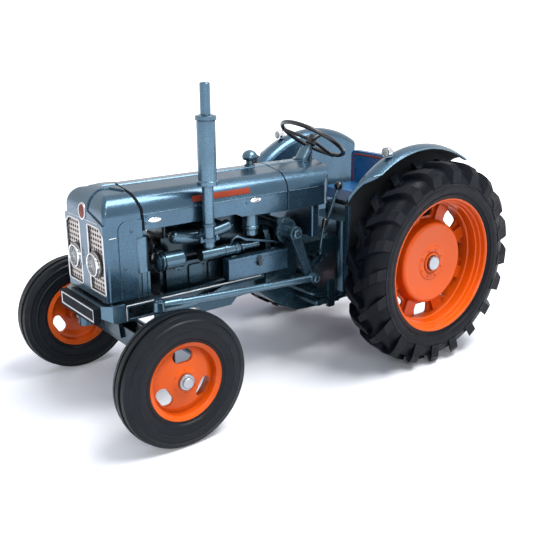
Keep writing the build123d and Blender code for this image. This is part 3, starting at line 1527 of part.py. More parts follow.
front_angle = degrees(atan2(sqrt(crown_root**2 - fender_front**2), fender_front))
with BuildPart() as fender:
    crown_plane = Plane(origin=(rear_axle_x, 0, axle_z), x_dir=(0, 1, 0),
                        z_dir=(sin(end_turn), 0, -cos(end_turn)))
    with BuildSketch(crown_plane):
        with BuildLine():
            ThreePointArc((fender_y, crown_root), (fender_y + 1.6, fender_radius - 1.2),
                          (crown_peak_y, fender_radius))
            ThreePointArc((crown_peak_y, fender_radius), (fender_outer - 1.6, fender_radius - 0.7),
                          (fender_outer, crown_lip))
            Polyline((fender_outer, crown_lip), (fender_outer - fender_skin, crown_lip - 0.3))
            ThreePointArc((fender_outer - fender_skin, crown_lip - 0.3),
                          (fender_outer - 2.2, fender_radius - fender_skin - 0.7),
                          (crown_peak_y, fender_radius - fender_skin))
            ThreePointArc((crown_peak_y, fender_radius - fender_skin),
                          (fender_y + 2.3, fender_radius - fender_skin - 1.1),
                          (fender_y + fender_skin, crown_root))
            Polyline((fender_y + fender_skin, crown_root), (fender_y, crown_root))
        make_face()
    revolve(axis=Axis((rear_axle_x, 0, axle_z), (0, 1, 0)),
            revolution_arc=fender_end_angle - front_angle + 4)
    with BuildSketch(level(fender_low_z)):
        with BuildLine():
            Polyline(
                (ax(fender_front), fender_y - 1),
                (ax(fender_front), fender_y + 1.8),
                (ax(fender_front - widening), fender_outer + 0.1),
                (ax(-fender_radius), fender_outer + 0.1),
                (ax(-fender_radius), fender_y - 1),
                close=True,
            )
        make_face()
    extrude(amount=fender_radius + 20, mode=Mode.INTERSECT)
    with BuildSketch(beside(fender_y)):
        with BuildLine():
            Polyline(
                fender_point(crown_root + 0.2, fender_end_angle),
                (ax(-24.0), axle_z + 17.4),
                (ax(-15.0), axle_z - 6.6),
                (ax(20.0), axle_z - 6.6),
                (ax(fender_front), fender_low_z),
                fender_point(crown_root + 0.2, front_angle),
            )
            ThreePointArc(
                fender_point(crown_root + 0.2, front_angle),
                fender_point(crown_root + 0.2, (front_angle + fender_end_angle) / 2),
                fender_point(crown_root + 0.2, fender_end_angle),
            )
        make_face()
        with Locations((rear_axle_x, axle_z)):
            Circle(fender_hole, mode=Mode.SUBTRACT)
    extrude(amount=-fender_skin)
    with BuildSketch(beside(fender_y)):
        with Locations((rear_axle_x, axle_z)):
            Circle(fender_hole + 3)
            Circle(fender_hole, mode=Mode.SUBTRACT)
    extrude(amount=fender_flange)
    with BuildSketch(beside(fender_y)):
        with BuildLine():
            Polyline((ax(fender_front), fender_low_z), fender_point(crown_root + 0.2, front_angle),
                     (ax(fender_front - 1.0), fender_point(crown_root + 0.2, front_angle)[1]),
                     (ax(fender_front - 1.0), fender_low_z), close=True)
        make_face()
    extrude(amount=-2.4)
write_pair(fender.part, "fender")

# Side lamps on short stalks on the fenders' crowns
side_lamp_x = 20.0
side_lamp_y = crown_peak_y
lamp_seat_gap = 0.05
crown_z = axle_z + sqrt(fender_radius**2 - side_lamp_x**2)
side_lamp_z = crown_z + side_lamp_radius + 0.1
with BuildPart() as side_lamps:
    with BuildSketch(Plane(origin=(ax(side_lamp_x), side_lamp_y, side_lamp_z), x_dir=(1, 0, 0),
                           z_dir=(0, 0, 1))):
        with BuildLine():
            Polyline((0.8, 0), (0.8, side_lamp_radius - 0.5), (1.2, side_lamp_radius - 0.5),
                     (1.2, side_lamp_radius), (0.2, side_lamp_radius))
            bowl_depth, bowl_middle = dome_middle(side_lamp_radius, 2.8)
            ThreePointArc((0.2, side_lamp_radius), (0.2 - bowl_depth, bowl_middle), (-2.6, 0))
            Polyline((-2.6, 0), (0.8, 0))
        make_face()
    revolve(axis=Axis((ax(side_lamp_x), side_lamp_y, side_lamp_z), (1, 0, 0)))
    with BuildSketch(level(side_lamp_z - side_lamp_radius + 0.4)):
        with Locations((ax(side_lamp_x - 0.6), side_lamp_y)):
            Circle(0.8)
    extrude(amount=crown_z - side_lamp_z + side_lamp_radius - 1)
    with BuildSketch(beside(side_lamp_y + 2)):
        with Locations((rear_axle_x, axle_z)):
            Circle(fender_radius + lamp_seat_gap)
    extrude(amount=4, mode=Mode.SUBTRACT)
    mirror(about=Plane.XZ)
write(side_lamps.part, "side_lamps")

# Footrests hung from the gearbox, one each side
foot_front = 50.0
foot_rear = 32.0
foot_inner = 13.0
foot_outer = 27.0
foot_z = 32.0
with BuildPart() as footrests:
    with BuildSketch(level(foot_z)):
        with Locations((ax((foot_front + foot_rear) / 2), (foot_inner + foot_outer) / 2)):
            RectangleRounded(foot_front - foot_rear, foot_outer - foot_inner, 1.0)
            with GridLocations(1, 3.0, 1, 4):
                SlotOverall(12.0, 1.2, mode=Mode.SUBTRACT)
    extrude(amount=-1.0)
    with BuildSketch(beside(case_half)):
        with Locations((ax(foot_front - 4), foot_z - 2), (ax(foot_rear + 4), foot_z - 2)):
            Rectangle(2.4, 2.0)
    extrude(amount=case_half - foot_outer + 2)
    with BuildSketch(beside(foot_outer - 0.2)):
        with Locations((ax(41.0), foot_z + 2)):
            RectangleRounded(4.0, 12.0, 0.8)
    extrude(amount=1.2)
    add(rod_through(((44.0, 24.0, foot_z - 0.3), (49.3, 24.0, 34.6), (57.0, 11.7, 38.4)), 0.6))
    mirror(about=Plane.XZ)
write(footrests.part, "footrests")

# Hand levers: one on the gearbox's lid, one on its left side
gear_foot = (29.0, 7.5, gearbox_high_z)
gear_knob = (22.9, 10.0, 76.0)
side_lever_foot = (37.0, 13.6, 46.0)
with BuildPart() as levers:
    with BuildSketch(level(gear_foot[2])):
        with Locations((ax(gear_foot[0]), gear_foot[1])):
            Circle(1.9)
    extrude(amount=1.6)
    add(rod_through(((gear_foot[0], gear_foot[1], gear_foot[2] + 1), (29.0, 10.0, 62.0), gear_knob),
                    0.7))
    with Locations((ax(gear_knob[0]), gear_knob[1], gear_knob[2])):
        Sphere(1.9, rotation=(90, 0, 0))
    with BuildSketch(beside(side_lever_foot[1] + 0.9)):
        with Locations((ax(side_lever_foot[0]), side_lever_foot[2])):
            Circle(1.5)
    extrude(amount=side_lever_foot[1] + 0.9 - case_half)
    add(rod_through((side_lever_foot, (36.0, 14.0, 54.0), (34.0, 14.0, 63.0)), 0.7))
write(levers.part, "levers")

# Pedals: a stub shaft each side of the gearbox, one pedal on the left and two on the right
pedal_pivot = (45.8, 41.0)
pedal_top = (38.6, 48.2)
pedal_reach = 18.4
pedal_table = ((1, 16.6), (-1, 12.6), (-1, 17.0))
with BuildPart() as pedals:
    for side in (1, -1):
        with BuildSketch(beside(side * case_half)):
            with Locations((ax(pedal_pivot[0]), pedal_pivot[1])):
                Circle(1.2)
        extrude(amount=-side * (pedal_reach - case_half))
    for side, middle_y in pedal_table:
        with BuildSketch(beside(side * middle_y + 0.8)):
            with BuildLine():
                Polyline(
                    (ax(pedal_pivot[0]) - 1.6, pedal_pivot[1] - 1.2),
                    (ax(pedal_pivot[0]) + 1.6, pedal_pivot[1] + 1.0),
                    (ax(pedal_top[0]) + 1.0, pedal_top[1] + 1.0),
                    (ax(pedal_top[0]) - 0.8, pedal_top[1]),
                    close=True,
                )
            make_face()
        extrude(amount=1.6)
        with BuildSketch(Plane(origin=(ax(pedal_top[0]), side * middle_y, pedal_top[1] + 0.4),
                               x_dir=(0, 1, 0), z_dir=(-0.34, 0, 0.94))):
            RectangleRounded(3.9, 4.6, 0.8)
        extrude(amount=1.1)
write(pedals.part, "pedals")

# Drawbar under the rear housing, with its pin hole
drawbar_end = -40.0
drawbar_front = 4.0
drawbar_half = 3.2
drawbar_high_z = 22.2
drawbar_thickness = 2.2
drawbar_hole_x = -36.5
drawbar_hole = 1.1
with BuildPart() as drawbar:
    with BuildSketch(level(drawbar_high_z - drawbar_thickness)):
        with Locations((ax((drawbar_end + drawbar_front) / 2), 0)):
            RectangleRounded(drawbar_front - drawbar_end, 2 * drawbar_half, 2.0)
        with Locations((ax(drawbar_hole_x), 0)):
            Circle(drawbar_hole, mode=Mode.SUBTRACT)
    extrude(amount=drawbar_thickness)
    with BuildSketch(level(drawbar_high_z)):
        with Locations((ax(centre_rear + 3), 0), (ax(drawbar_front - 2), 0)):
            Rectangle(4.0, 5.0)
    extrude(amount=case_low_z - drawbar_high_z)
write(drawbar.part, "drawbar")

# Power take-off shaft in its flange on the back of the rear housing
pto_z = case_low_z + 12.0
pto_radius = 1.1
pto_length = 9.0
with BuildPart() as pto_shaft:
    with BuildSketch(across(ax(centre_rear), 0, pto_z)):
        Circle(3.2)
    extrude(amount=-1.4)
    with BuildSketch(across(ax(centre_rear), 0, pto_z)):
        Circle(pto_radius)
    extrude(amount=-pto_length)
write(pto_shaft.part, "pto_shaft")

# Lift shaft with an arm each side, turning in the hydraulic cover's bearings
shaft_boss = 3.0
arm_end_radius = 1.9
rod_pin_radius = 0.9
rod_pin_length = 3.2
rod_y = link_y
with BuildPart() as lift_arms:
    with BuildSketch(beside(rod_y + link_width / 2)):
        with Locations((shaft_x, shaft_z)):
            Circle(shaft_radius)
    extrude(amount=2 * rod_y + link_width)
    for side in (1, -1):
        with BuildSketch(beside(side * rod_y + link_width / 2)):
            with BuildLine():
                Polyline((shaft_x, shaft_z + 2.4), (shaft_x - lift_arm_reach, shaft_z + 1.3),
                         (shaft_x - lift_arm_reach, shaft_z - 1.3), (shaft_x, shaft_z - 2.4),
                         close=True)
            make_face()
            with Locations((shaft_x, shaft_z)):
                Circle(shaft_boss)
            with Locations((shaft_x - lift_arm_reach, shaft_z)):
                Circle(arm_end_radius)
        extrude(amount=link_width)
        with BuildSketch(beside(side * (rod_y + link_width / 2))):
            with Locations((shaft_x - lift_arm_reach, shaft_z)):
                Circle(rod_pin_radius)
        extrude(amount=-side * rod_pin_length)
write(lift_arms.part, "lift_arms")

# Lower links: flat arms on the rear housing's pins, cranked down to the open eyes at the rear
rod_foot = (link_pivot[0] - lift_arm_reach, link_pivot[1])
link_end = (1.9 - rear_overhang, 22.4)
link_eye = 1.9
with BuildPart() as lower_links:
    for side in (1, -1):
        with BuildSketch(beside(side * link_y + link_width / 2)):
            with BuildLine():
                Polyline(
                    (ax(link_pivot[0]), link_pivot[1] + 1.9),
                    (ax(rod_foot[0]), rod_foot[1] + 1.9),
                    (ax(link_end[0]), link_end[1] + 1.5),
                    (ax(link_end[0]), link_end[1] - 1.5),
                    (ax(rod_foot[0]), rod_foot[1] - 1.9),
                    (ax(link_pivot[0]), link_pivot[1] - 1.9),
                    close=True,
                )
            make_face()
            with Locations((ax(link_pivot[0]), link_pivot[1])):
                Circle(2.6)
            with Locations((ax(link_end[0]), link_end[1])):
                Circle(link_eye)
            with Locations((ax(link_pivot[0]), link_pivot[1])):
                Circle(link_pin_radius + pin_gap, mode=Mode.SUBTRACT)
            with Locations((ax(link_end[0]), link_end[1])):
                Circle(eye_radius, mode=Mode.SUBTRACT)
        extrude(amount=link_width)
        with BuildSketch(beside(side * (link_y + link_width / 2))):
            with Locations((ax(rod_foot[0]), rod_foot[1])):
                Circle(rod_pin_radius)
        extrude(amount=-side * rod_pin_length)
write(lower_links.part, "lower_links")

# Lift rods, each with an eye on the lift arm's pin and one on the lower link's pin
rod_eye = 1.9
rod_eye_width = 2.2
rod_inner_y = rod_y + link_width / 2 + side_gap
rod_top = (shaft_pivot[0] - lift_arm_reach, shaft_pivot[1])
rod_gap = 0.15
with BuildPart() as lift_rods:
    for side in (1, -1):
        middle_y = side * (rod_inner_y + rod_eye_width / 2)
        add(rod_through(((rod_top[0], middle_y, rod_top[1]), (rod_foot[0], middle_y, rod_foot[1])),
                        0.9))
        middle = ((rod_top[0] + rod_foot[0]) / 2, (rod_top[1] + rod_foot[1]) / 2)
        quarter = ((middle[0] + rod_foot[0]) / 2, (middle[1] + rod_foot[1]) / 2)
        add(rod_through(((middle[0], middle_y, middle[1]), (quarter[0], middle_y, quarter[1])), 1.5))
        for eye, gap in ((rod_top, pin_gap), (rod_foot, rod_gap)):
            with BuildSketch(beside(middle_y + rod_eye_width / 2)):
                with Locations((ax(eye[0]), eye[1])):
                    Circle(rod_eye)
            extrude(amount=rod_eye_width)
            with BuildSketch(beside(middle_y + rod_eye_width)):
                with Locations((ax(eye[0]), eye[1])):
                    Circle(rod_pin_radius + gap)
            extrude(amount=2 * rod_eye_width, mode=Mode.SUBTRACT)
write(lift_rods.part, "lift_rods")
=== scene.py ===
"""Looks of the die-cast scale model tractor: materials, small trim, floor, lights and camera.

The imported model's frame: +X forward, +Y to the driver's left, +Z up. Places and sizes
here are in millimetres, and each mesh is brought to metres when it is added.
"""

import json
import math
from collections import namedtuple

import bmesh
import bpy
from mathutils import Matrix, Vector


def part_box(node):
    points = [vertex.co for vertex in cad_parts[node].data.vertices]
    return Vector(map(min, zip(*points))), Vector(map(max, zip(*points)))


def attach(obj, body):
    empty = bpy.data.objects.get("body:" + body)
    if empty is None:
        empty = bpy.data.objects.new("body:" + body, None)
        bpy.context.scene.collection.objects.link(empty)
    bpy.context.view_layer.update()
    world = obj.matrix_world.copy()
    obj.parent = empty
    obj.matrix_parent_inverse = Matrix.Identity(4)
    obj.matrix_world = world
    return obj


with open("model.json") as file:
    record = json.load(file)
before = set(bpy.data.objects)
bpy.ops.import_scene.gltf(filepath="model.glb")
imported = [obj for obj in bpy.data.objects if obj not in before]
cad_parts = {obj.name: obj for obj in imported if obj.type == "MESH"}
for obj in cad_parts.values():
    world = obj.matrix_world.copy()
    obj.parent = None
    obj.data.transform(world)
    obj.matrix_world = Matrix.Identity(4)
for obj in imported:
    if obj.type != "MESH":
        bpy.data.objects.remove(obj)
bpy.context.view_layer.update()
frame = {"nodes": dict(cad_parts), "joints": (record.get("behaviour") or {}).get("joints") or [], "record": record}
MM = 0.001
Place = namedtuple("Place", "x y z")


def millimetres(place):
    """A place in the frame, in millimetres to the micrometre."""
    return Place(*(round(value / MM, 3) for value in place))


def cad_box_of(name):
    """Lowest and highest corners of a CAD node at rest, in millimetres."""
    return [millimetres(corner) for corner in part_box(name)]


# Places of the axles, the steering and the engine, from the frame's joints and nodes
pivots = {joint["name"]: millimetres(joint["pos_m"]) for joint in frame["joints"]}
rear_axle_x = pivots["rear_spin_left"].x
rear_axle_z = pivots["rear_spin_left"].z
front_axle_x = pivots["front_spin_left"].x
front_axle_z = pivots["front_spin_left"].z
cross_shaft = pivots["drop_arm_swing"]
drag_pin = pivots["drag_link_turn"]
block_low, block_high = cad_box_of("engine_block")
timing_depth = 2.0
block_rear_x = block_low.x
block_front_x = block_high.x - timing_depth
fender_low, _ = cad_box_of("fender_left")
fender_panel_y = fender_low.y + 3.0  # just past the outer side of the upright panel
chassis = "chassis"
both_sides = (("left", 1), ("right", -1))

# Bonnet section, shared by the trim that lies on it
_, bonnet_high = cad_box_of("bonnet")
crease_step = 0.25  # how far the rounded top stands out over the flat side
hood_half = bonnet_high.y - crease_step
hood_top = bonnet_high.z
hood_ridge_half = 2.4
crease_z = hood_top - 9.2
hood_low_z = hood_top - 15.2
seam_places = ((-0.3, hood_top), (-2.6, 81.0), (-3.0, hood_low_z))  # from the front axle, and height

# Front of the nose cowl, its two windows and the lamps in them
_, nose_high = cad_box_of("nose_cowl")
nose_face_x = nose_high.x
nose_arc_radius = 9.1
nose_arc_x = nose_face_x - nose_arc_radius
nose_arc_z = nose_high.z - nose_arc_radius
grille_low, grille_high = cad_box_of("grilles")
grille_gap = 0.1
grille_face_x = grille_high.x
window_inner = 3.4
window_outer = grille_high.y + grille_gap
window_low_z = grille_low.z - grille_gap
window_high_z = grille_high.z + grille_gap
window_cut = 3.0
window_corner_drop = 2.6
lamp_low, lamp_high = cad_box_of("headlamps")
headlamp_y = lamp_high.y - (lamp_high.z - lamp_low.z) / 2
headlamp_z = (lamp_high.z + lamp_low.z) / 2


# Shader helpers

def new_material(name):
    mat = bpy.data.materials.new(name)
    mat.use_nodes = True
    tree = mat.node_tree
    tree.nodes.clear()
    out = tree.nodes.new("ShaderNodeOutputMaterial")
    shader = tree.nodes.new("ShaderNodeBsdfPrincipled")
    tree.links.new(shader.outputs["BSDF"], out.inputs["Surface"])
    return mat, tree, shader


def node(tree, kind, **values):
    """New node, with each value set on the input of that name or else on the node itself."""
    made = tree.nodes.new(kind)
    for key, value in values.items():
        if key in made.inputs:
            made.inputs[key].default_value = value
        else:
            setattr(made, key, value)
    return made


def coords(tree):
    """Object coordinates, in metres."""
    return node(tree, "ShaderNodeTexCoord").outputs["Object"]


def noise(tree, scale, detail=3.0):
    """Cloud noise over the object, with scale in cells per metre."""
    made = node(tree, "ShaderNodeTexNoise", Scale=scale, Detail=detail, Roughness=0.55)
    tree.links.new(coords(tree), made.inputs["Vector"])
    return made.outputs["Fac"]


def spread(tree, value, low, high, to_low=0.0, to_high=1.0):
    """Value between low and high, spread over to_low and to_high."""
    made = node(tree, "ShaderNodeMapRange")
    made.inputs["From Min"].default_value = low
    made.inputs["From Max"].default_value = high
    made.inputs["To Min"].default_value = to_low
    made.inputs["To Max"].default_value = to_high
    tree.links.new(value, made.inputs["Value"])
    return made.outputs["Result"]


def maths(tree, operation, first, second=None):
    made = node(tree, "ShaderNodeMath", operation=operation)
    for socket, value in zip(made.inputs, (first, second)):
        if isinstance(value, bpy.types.NodeSocket):
            tree.links.new(value, socket)
        elif value is not None:
            socket.default_value = value
    return made.outputs[0]


def mix_colour(tree, factor, first, second):
    """First colour at factor 0, second at 1; a colour is a socket or three numbers."""
    made = node(tree, "ShaderNodeMix", data_type="RGBA")
    tree.links.new(factor, made.inputs[0])
    for socket, value in ((made.inputs[6], first), (made.inputs[7], second)):
        if isinstance(value, bpy.types.NodeSocket):
            tree.links.new(value, socket)
        else:
            socket.default_value = (*value, 1.0)
    return made.outputs[2]


def vary_roughness(tree, shader, scale, low, high):
    """Roughness that wanders between low and high."""
    tree.links.new(spread(tree, noise(tree, scale), 0.3, 0.7, low, high), shader.inputs["Roughness"])


def vary_colour(tree, shader, scale, detail, high, first, second):
    """Base colour in broad patches from first to second."""
    patch = spread(tree, noise(tree, scale, detail), 0.3, high)
    tree.links.new(mix_colour(tree, patch, first, second), shader.inputs["Base Color"])


def bumped(tree, shader, height, strength, distance, edge):
    """Bump from a height, over edges that the Bevel node rounds by edge metres."""
    bevel = node(tree, "ShaderNodeBevel", samples=4)
    bevel.inputs["Radius"].default_value = edge
    bump = node(tree, "ShaderNodeBump", Strength=strength, Distance=distance)
    tree.links.new(height, bump.inputs["Height"])
    tree.links.new(bevel.outputs["Normal"], bump.inputs["Normal"])
    tree.links.new(bump.outputs["Normal"], shader.inputs["Normal"])


def paint(name, colour, metallic, roughness, coat, flake=0.35, grime=0.25, specular=0.5,
          hollow_shade=0.45):
    """Sprayed enamel: metal flakes, faint orange peel, a clear coat, and painted shade that darkens the colour in
    the hollows.
    """
    flakes_per_metre = 2600.0
    shade_reach = 0.012
    mat, tree, shader = new_material(name)
    flakes = node(tree, "ShaderNodeTexVoronoi", Scale=flakes_per_metre)
    tree.links.new(coords(tree), flakes.inputs["Vector"])
    bright = [min(1.0, c * (1.0 + flake)) for c in colour]
    dark = [c * (1.0 - flake * 0.6) for c in colour]
    speckled = mix_colour(tree, spread(tree, flakes.outputs["Distance"], 0.15, 0.75), bright, dark)
    patch = spread(tree, noise(tree, 55.0, 4.0), 0.35, 0.7)
    shaded = mix_colour(tree, patch, speckled, [c * (1 - grime) for c in colour])
    # Painted shade: ambient occlusion darkens the base colour in creases, corners and hollows
    shade_ao = node(tree, "ShaderNodeAmbientOcclusion", Distance=shade_reach)
    unshaded_share = spread(tree, shade_ao.outputs["AO"], 0.25, 0.85, hollow_shade, 1.0)
    hollow_shading = node(tree, "ShaderNodeVectorMath", operation="SCALE")
    tree.links.new(shaded, hollow_shading.inputs[0])
    tree.links.new(unshaded_share, hollow_shading.inputs["Scale"])
    tree.links.new(hollow_shading.outputs["Vector"], shader.inputs["Base Color"])
    shader.inputs["Metallic"].default_value = metallic
    vary_roughness(tree, shader, 160.0, roughness - 0.04, roughness + 0.06)
    shader.inputs["Specular IOR Level"].default_value = specular
    shader.inputs["Coat Weight"].default_value = coat
    shader.inputs["Coat Roughness"].default_value = 0.1
    bumped(tree, shader, noise(tree, 900.0, 2.0), 0.10, 0.0002, edge=0.0003)
    return mat


def shade_over_tyre(mat, metallic, coat):
    """Fender paint with painted shade: dark and dull on the lip's underside and on the panel's side at the tyre.
    """
    tree = mat.node_tree
    shader = tree.nodes["Principled BSDF"]
    away = node(tree, "ShaderNodeVectorMath", operation="SUBTRACT")
    tree.links.new(coords(tree), away.inputs[0])
    away.inputs[1].default_value = (rear_axle_x * MM, 0.0, rear_axle_z * MM)
    flat = node(tree, "ShaderNodeVectorMath", operation="MULTIPLY")
    tree.links.new(away.outputs["Vector"], flat.inputs[0])
    flat.inputs[1].default_value = (1.0, 0.0, 1.0)
    unit = node(tree, "ShaderNodeVectorMath", operation="NORMALIZE")
    tree.links.new(flat.outputs["Vector"], unit.inputs[0])
    facing = node(tree, "ShaderNodeVectorMath", operation="DOT_PRODUCT")
    tree.links.new(unit.outputs["Vector"], facing.inputs[0])
    normal = node(tree, "ShaderNodeNewGeometry").outputs["Normal"]
    tree.links.new(normal, facing.inputs[1])
    lip_shade = spread(tree, facing.outputs["Value"], -0.3, -0.1, 1.0, 0.0)
    place = node(tree, "ShaderNodeSeparateXYZ")
    tree.links.new(coords(tree), place.inputs["Vector"])
    turned = node(tree, "ShaderNodeSeparateXYZ")
    tree.links.new(normal, turned.inputs["Vector"])
    side = maths(tree, "SIGN", place.outputs["Y"])
    outward = spread(tree, maths(tree, "MULTIPLY", turned.outputs["Y"], side), 0.8, 0.95, 0.0, 1.0)
    panel = spread(tree, maths(tree, "ABSOLUTE", place.outputs["Y"]), fender_panel_y * MM,
                   (fender_panel_y + 1.0) * MM, 1.0, 0.0)
    tyre_shade = maths(tree, "MAXIMUM", lip_shade, maths(tree, "MULTIPLY", outward, panel))
    colour = shader.inputs["Base Color"].links[0].from_socket
    # Painted shade: near-black colour on the surfaces that face the tyre, where shade falls under the fender
    tree.links.new(mix_colour(tree, tyre_shade, colour, (0.004, 0.006, 0.009)), shader.inputs["Base Color"])
    rough = shader.inputs["Roughness"].links[0].from_socket
    tree.links.new(maths(tree, "MAXIMUM", rough, maths(tree, "MULTIPLY", tyre_shade, 0.85)),
                   shader.inputs["Roughness"])
    tree.links.new(spread(tree, tyre_shade, 0.0, 1.0, metallic, 0.0), shader.inputs["Metallic"])
    tree.links.new(spread(tree, tyre_shade, 0.0, 1.0, coat, 0.0), shader.inputs["Coat Weight"])
    return mat


def rubber(name, colour, axle, ring_radii, specular):
    """Moulded rubber: fine grain, dusty patches and raised rings round the sidewall's axle."""
    roughness = 0.42
    ring_width = 0.0006
    mat, tree, shader = new_material(name)
    vary_colour(tree, shader, 70.0, 5.0, 0.75, colour, [c * 1.5 + 0.001 for c in colour])
    vary_roughness(tree, shader, 220.0, roughness - 0.08, roughness + 0.1)
    shader.inputs["Specular IOR Level"].default_value = specular
    split = node(tree, "ShaderNodeSeparateXYZ")
    tree.links.new(coords(tree), split.inputs["Vector"])
    reach = []
    for output, middle in (("X", axle[0]), ("Z", axle[1])):
        away = maths(tree, "SUBTRACT", split.outputs[output], middle * MM)
        reach.append(maths(tree, "MULTIPLY", away, away))
    radius = maths(tree, "SQRT", maths(tree, "ADD", *reach))
    height = maths(tree, "MULTIPLY", noise(tree, 1500.0, 2.0), 0.12)
    for ring in ring_radii:
        away = maths(tree, "ABSOLUTE", maths(tree, "SUBTRACT", radius, ring * MM))
        height = maths(tree, "ADD", height, spread(tree, away, 0.0, ring_width, 1.0, 0.0))
    bumped(tree, shader, height, 0.9, 0.0004, edge=0.0003)
    return mat


def plated(name, colour, roughness, brushed=0.0):
    """Plated or turned metal, with faint stains."""
    mat, tree, shader = new_material(name)
    shader.inputs["Metallic"].default_value = 1.0
    vary_colour(tree, shader, 240.0, 4.0, 0.7, colour, [c * 0.86 for c in colour])
    vary_roughness(tree, shader, 420.0, roughness, roughness + 0.08)
    bumped(tree, shader, noise(tree, 2600.0, 2.0), 0.05 + brushed, 0.0001, edge=0.0002)
    return mat


def plastic(name, colour, roughness, coat=0.2, specular=0.5):
    """Moulded plastic with a fine pebbled grain."""
    mat, tree, shader = new_material(name)
    vary_colour(tree, shader, 90.0, 4.0, 0.7, colour, [c * 0.8 for c in colour])
    vary_roughness(tree, shader, 260.0, roughness - 0.04, roughness + 0.08)
    shader.inputs["Specular IOR Level"].default_value = specular
    shader.inputs["Coat Weight"].default_value = coat
    shader.inputs["Coat Roughness"].default_value = 0.15
    bumped(tree, shader, noise(tree, 1800.0), 0.12, 0.0002, edge=0.0004)
    return mat


def lens(name):
    """Pale lamp glass with moulded ribs."""
    mat, tree, shader = new_material(name)
    shader.inputs["Base Color"].default_value = (0.74, 0.78, 0.74, 1.0)
    shader.inputs["Roughness"].default_value = 0.05
    shader.inputs["Transmission Weight"].default_value = 0.45
    shader.inputs["IOR"].default_value = 1.45
    ribs = node(tree, "ShaderNodeTexWave", Scale=420.0, bands_direction="Y", wave_profile="SIN")
    tree.links.new(coords(tree), ribs.inputs["Vector"])
    bumped(tree, shader, ribs.outputs["Fac"], 0.25, 0.0002, edge=0.0002)
    return mat


# Materials
body_look = {"colour": (0.052, 0.118, 0.180), "metallic": 0.72, "roughness": 0.25, "coat": 0.35}
body_paint = paint("body_paint", **body_look)
# Lighter copy of the body paint with little hollow shade: painted highlight on the rolled beads
highlight_bead_paint = paint("highlight_bead_paint", (0.155, 0.265, 0.345), 0.72, 0.24, coat=0.4, flake=0.2, hollow_shade=0.9)
fender_paint_shaded = shade_over_tyre(paint("fender_paint_shaded", **body_look), body_look["metallic"],
                              body_look["coat"])
# Lighter copy of the body paint: painted light on the exhaust
lit_exhaust_paint = paint("lit_exhaust_paint", (0.090, 0.178, 0.250), 0.72, 0.27, coat=0.35)
# Lighter copy of the body paint, with strong painted shade in its hollows: painted light on the linkage, the rails
# and the small castings
lit_linkage_paint = paint("lit_linkage_paint", (0.085, 0.165, 0.225), 0.75, 0.24, coat=0.3, flake=0.2,
                      hollow_shade=0.15)
# Darker copy of the body paint, with strong painted shade in its hollows: painted shade on the castings
shaded_casting_paint = paint("shaded_casting_paint", (0.026, 0.070, 0.102), 0.74, 0.24, coat=0.3, flake=0.3,
                      hollow_shade=0.12)
wheel_paint = paint("wheel_paint", (0.95, 0.125, 0.002), 0.0, 0.36, coat=0.24, flake=0.04, grime=0.1,
                    specular=0.22)
rear_rubber = rubber("rear_rubber", (0.0022, 0.0034, 0.0062), (rear_axle_x, rear_axle_z), (31.4, 35.8),
                     0.13)
front_rubber = rubber("front_rubber", (0.0020, 0.0040, 0.0068), (front_axle_x, front_axle_z),
                      (16.0, 19.4, 22.4), 0.22)
seam_rubber = plastic("seam_rubber", (0.003, 0.005, 0.009), 0.6, coat=0.0, specular=0.12)
chrome = plated("chrome", (0.80, 0.81, 0.83), 0.08)
steel = plated("turned_steel", (0.40, 0.42, 0.45), 0.34, brushed=0.06)
silver = plated("silver_coat", (0.60, 0.61, 0.63), 0.30)
# Silver darkened below its own tone: painted shade for the dark holes of the net
shaded_net_silver = plated("shaded_net_silver", (0.50, 0.455, 0.43), 0.36)
dark_plastic = plastic("dark_plastic", (0.008, 0.009, 0.012), 0.28)
plate_face = plastic("plate_face", (0.008, 0.012, 0.018), 0.6, coat=0.0, specular=0.1)
seat_plastic = plastic("seat_plastic", (0.012, 0.130, 0.330), 0.28)
lamp_lens = lens("lamp_lens")
red_trim = plastic("red_trim", (0.36, 0.052, 0.022), 0.42, coat=0.0, specular=0.2)

materials = {
    "rear_tyre": rear_rubber, "front_tyre": front_rubber, "wheel_orange": wheel_paint,
    "pin_metal": steel, "casting_blue": shaded_casting_paint, "body_blue": body_paint,
    "silver": shaded_net_silver, "chrome": chrome, "lamp_glass": lamp_lens,
    "exhaust_black": lit_exhaust_paint, "wheel_black": dark_plastic, "lever_metal": steel,
    "seat_blue": seat_plastic,
}

# Slots' materials on the CAD nodes, with a lighter copy of the body paint, a painted light, on the linkage, the
# rails and the small castings
painted_light_nodes = ("drop_arm", "drag_link", "manifold", "steering_box", "injection_pump", "dynamo",
                "air_cleaner", "tie_rod", "knuckle_left", "knuckle_right", "steering_column",
                "levers", "side_rails", "front_casting")
node_paint = {name: lit_linkage_paint for name in painted_light_nodes}
node_paint.update(fender_left=fender_paint_shaded, fender_right=fender_paint_shaded, number_plate=plate_face)
slots = {entry["node"]: entry["material_slot"] for entry in frame["record"]["subparts"]}
for name, obj in frame["nodes"].items():
    for piece_slot in obj.material_slots:
        piece_slot.material = node_paint.get(name, materials[slots[name]])


# Mesh helpers, in millimetres

def add_piece(name, bm, mat, body=chassis):
    """Turns a bmesh in millimetres into a named piece that rides on a body."""
    sharp_from = math.radians(38)
    bmesh.ops.recalc_face_normals(bm, faces=bm.faces)
    bmesh.ops.scale(bm, vec=(MM, MM, MM), verts=bm.verts)
    mesh = bpy.data.meshes.new(name)
    bm.to_mesh(mesh)
    bm.free()
    for face in mesh.polygons:
        face.use_smooth = True
    mesh.set_sharp_from_angle(angle=sharp_from)
    mesh.materials.append(mat)
    obj = bpy.data.objects.new(name, mesh)
    bpy.context.scene.collection.objects.link(obj)
    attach(obj, body)


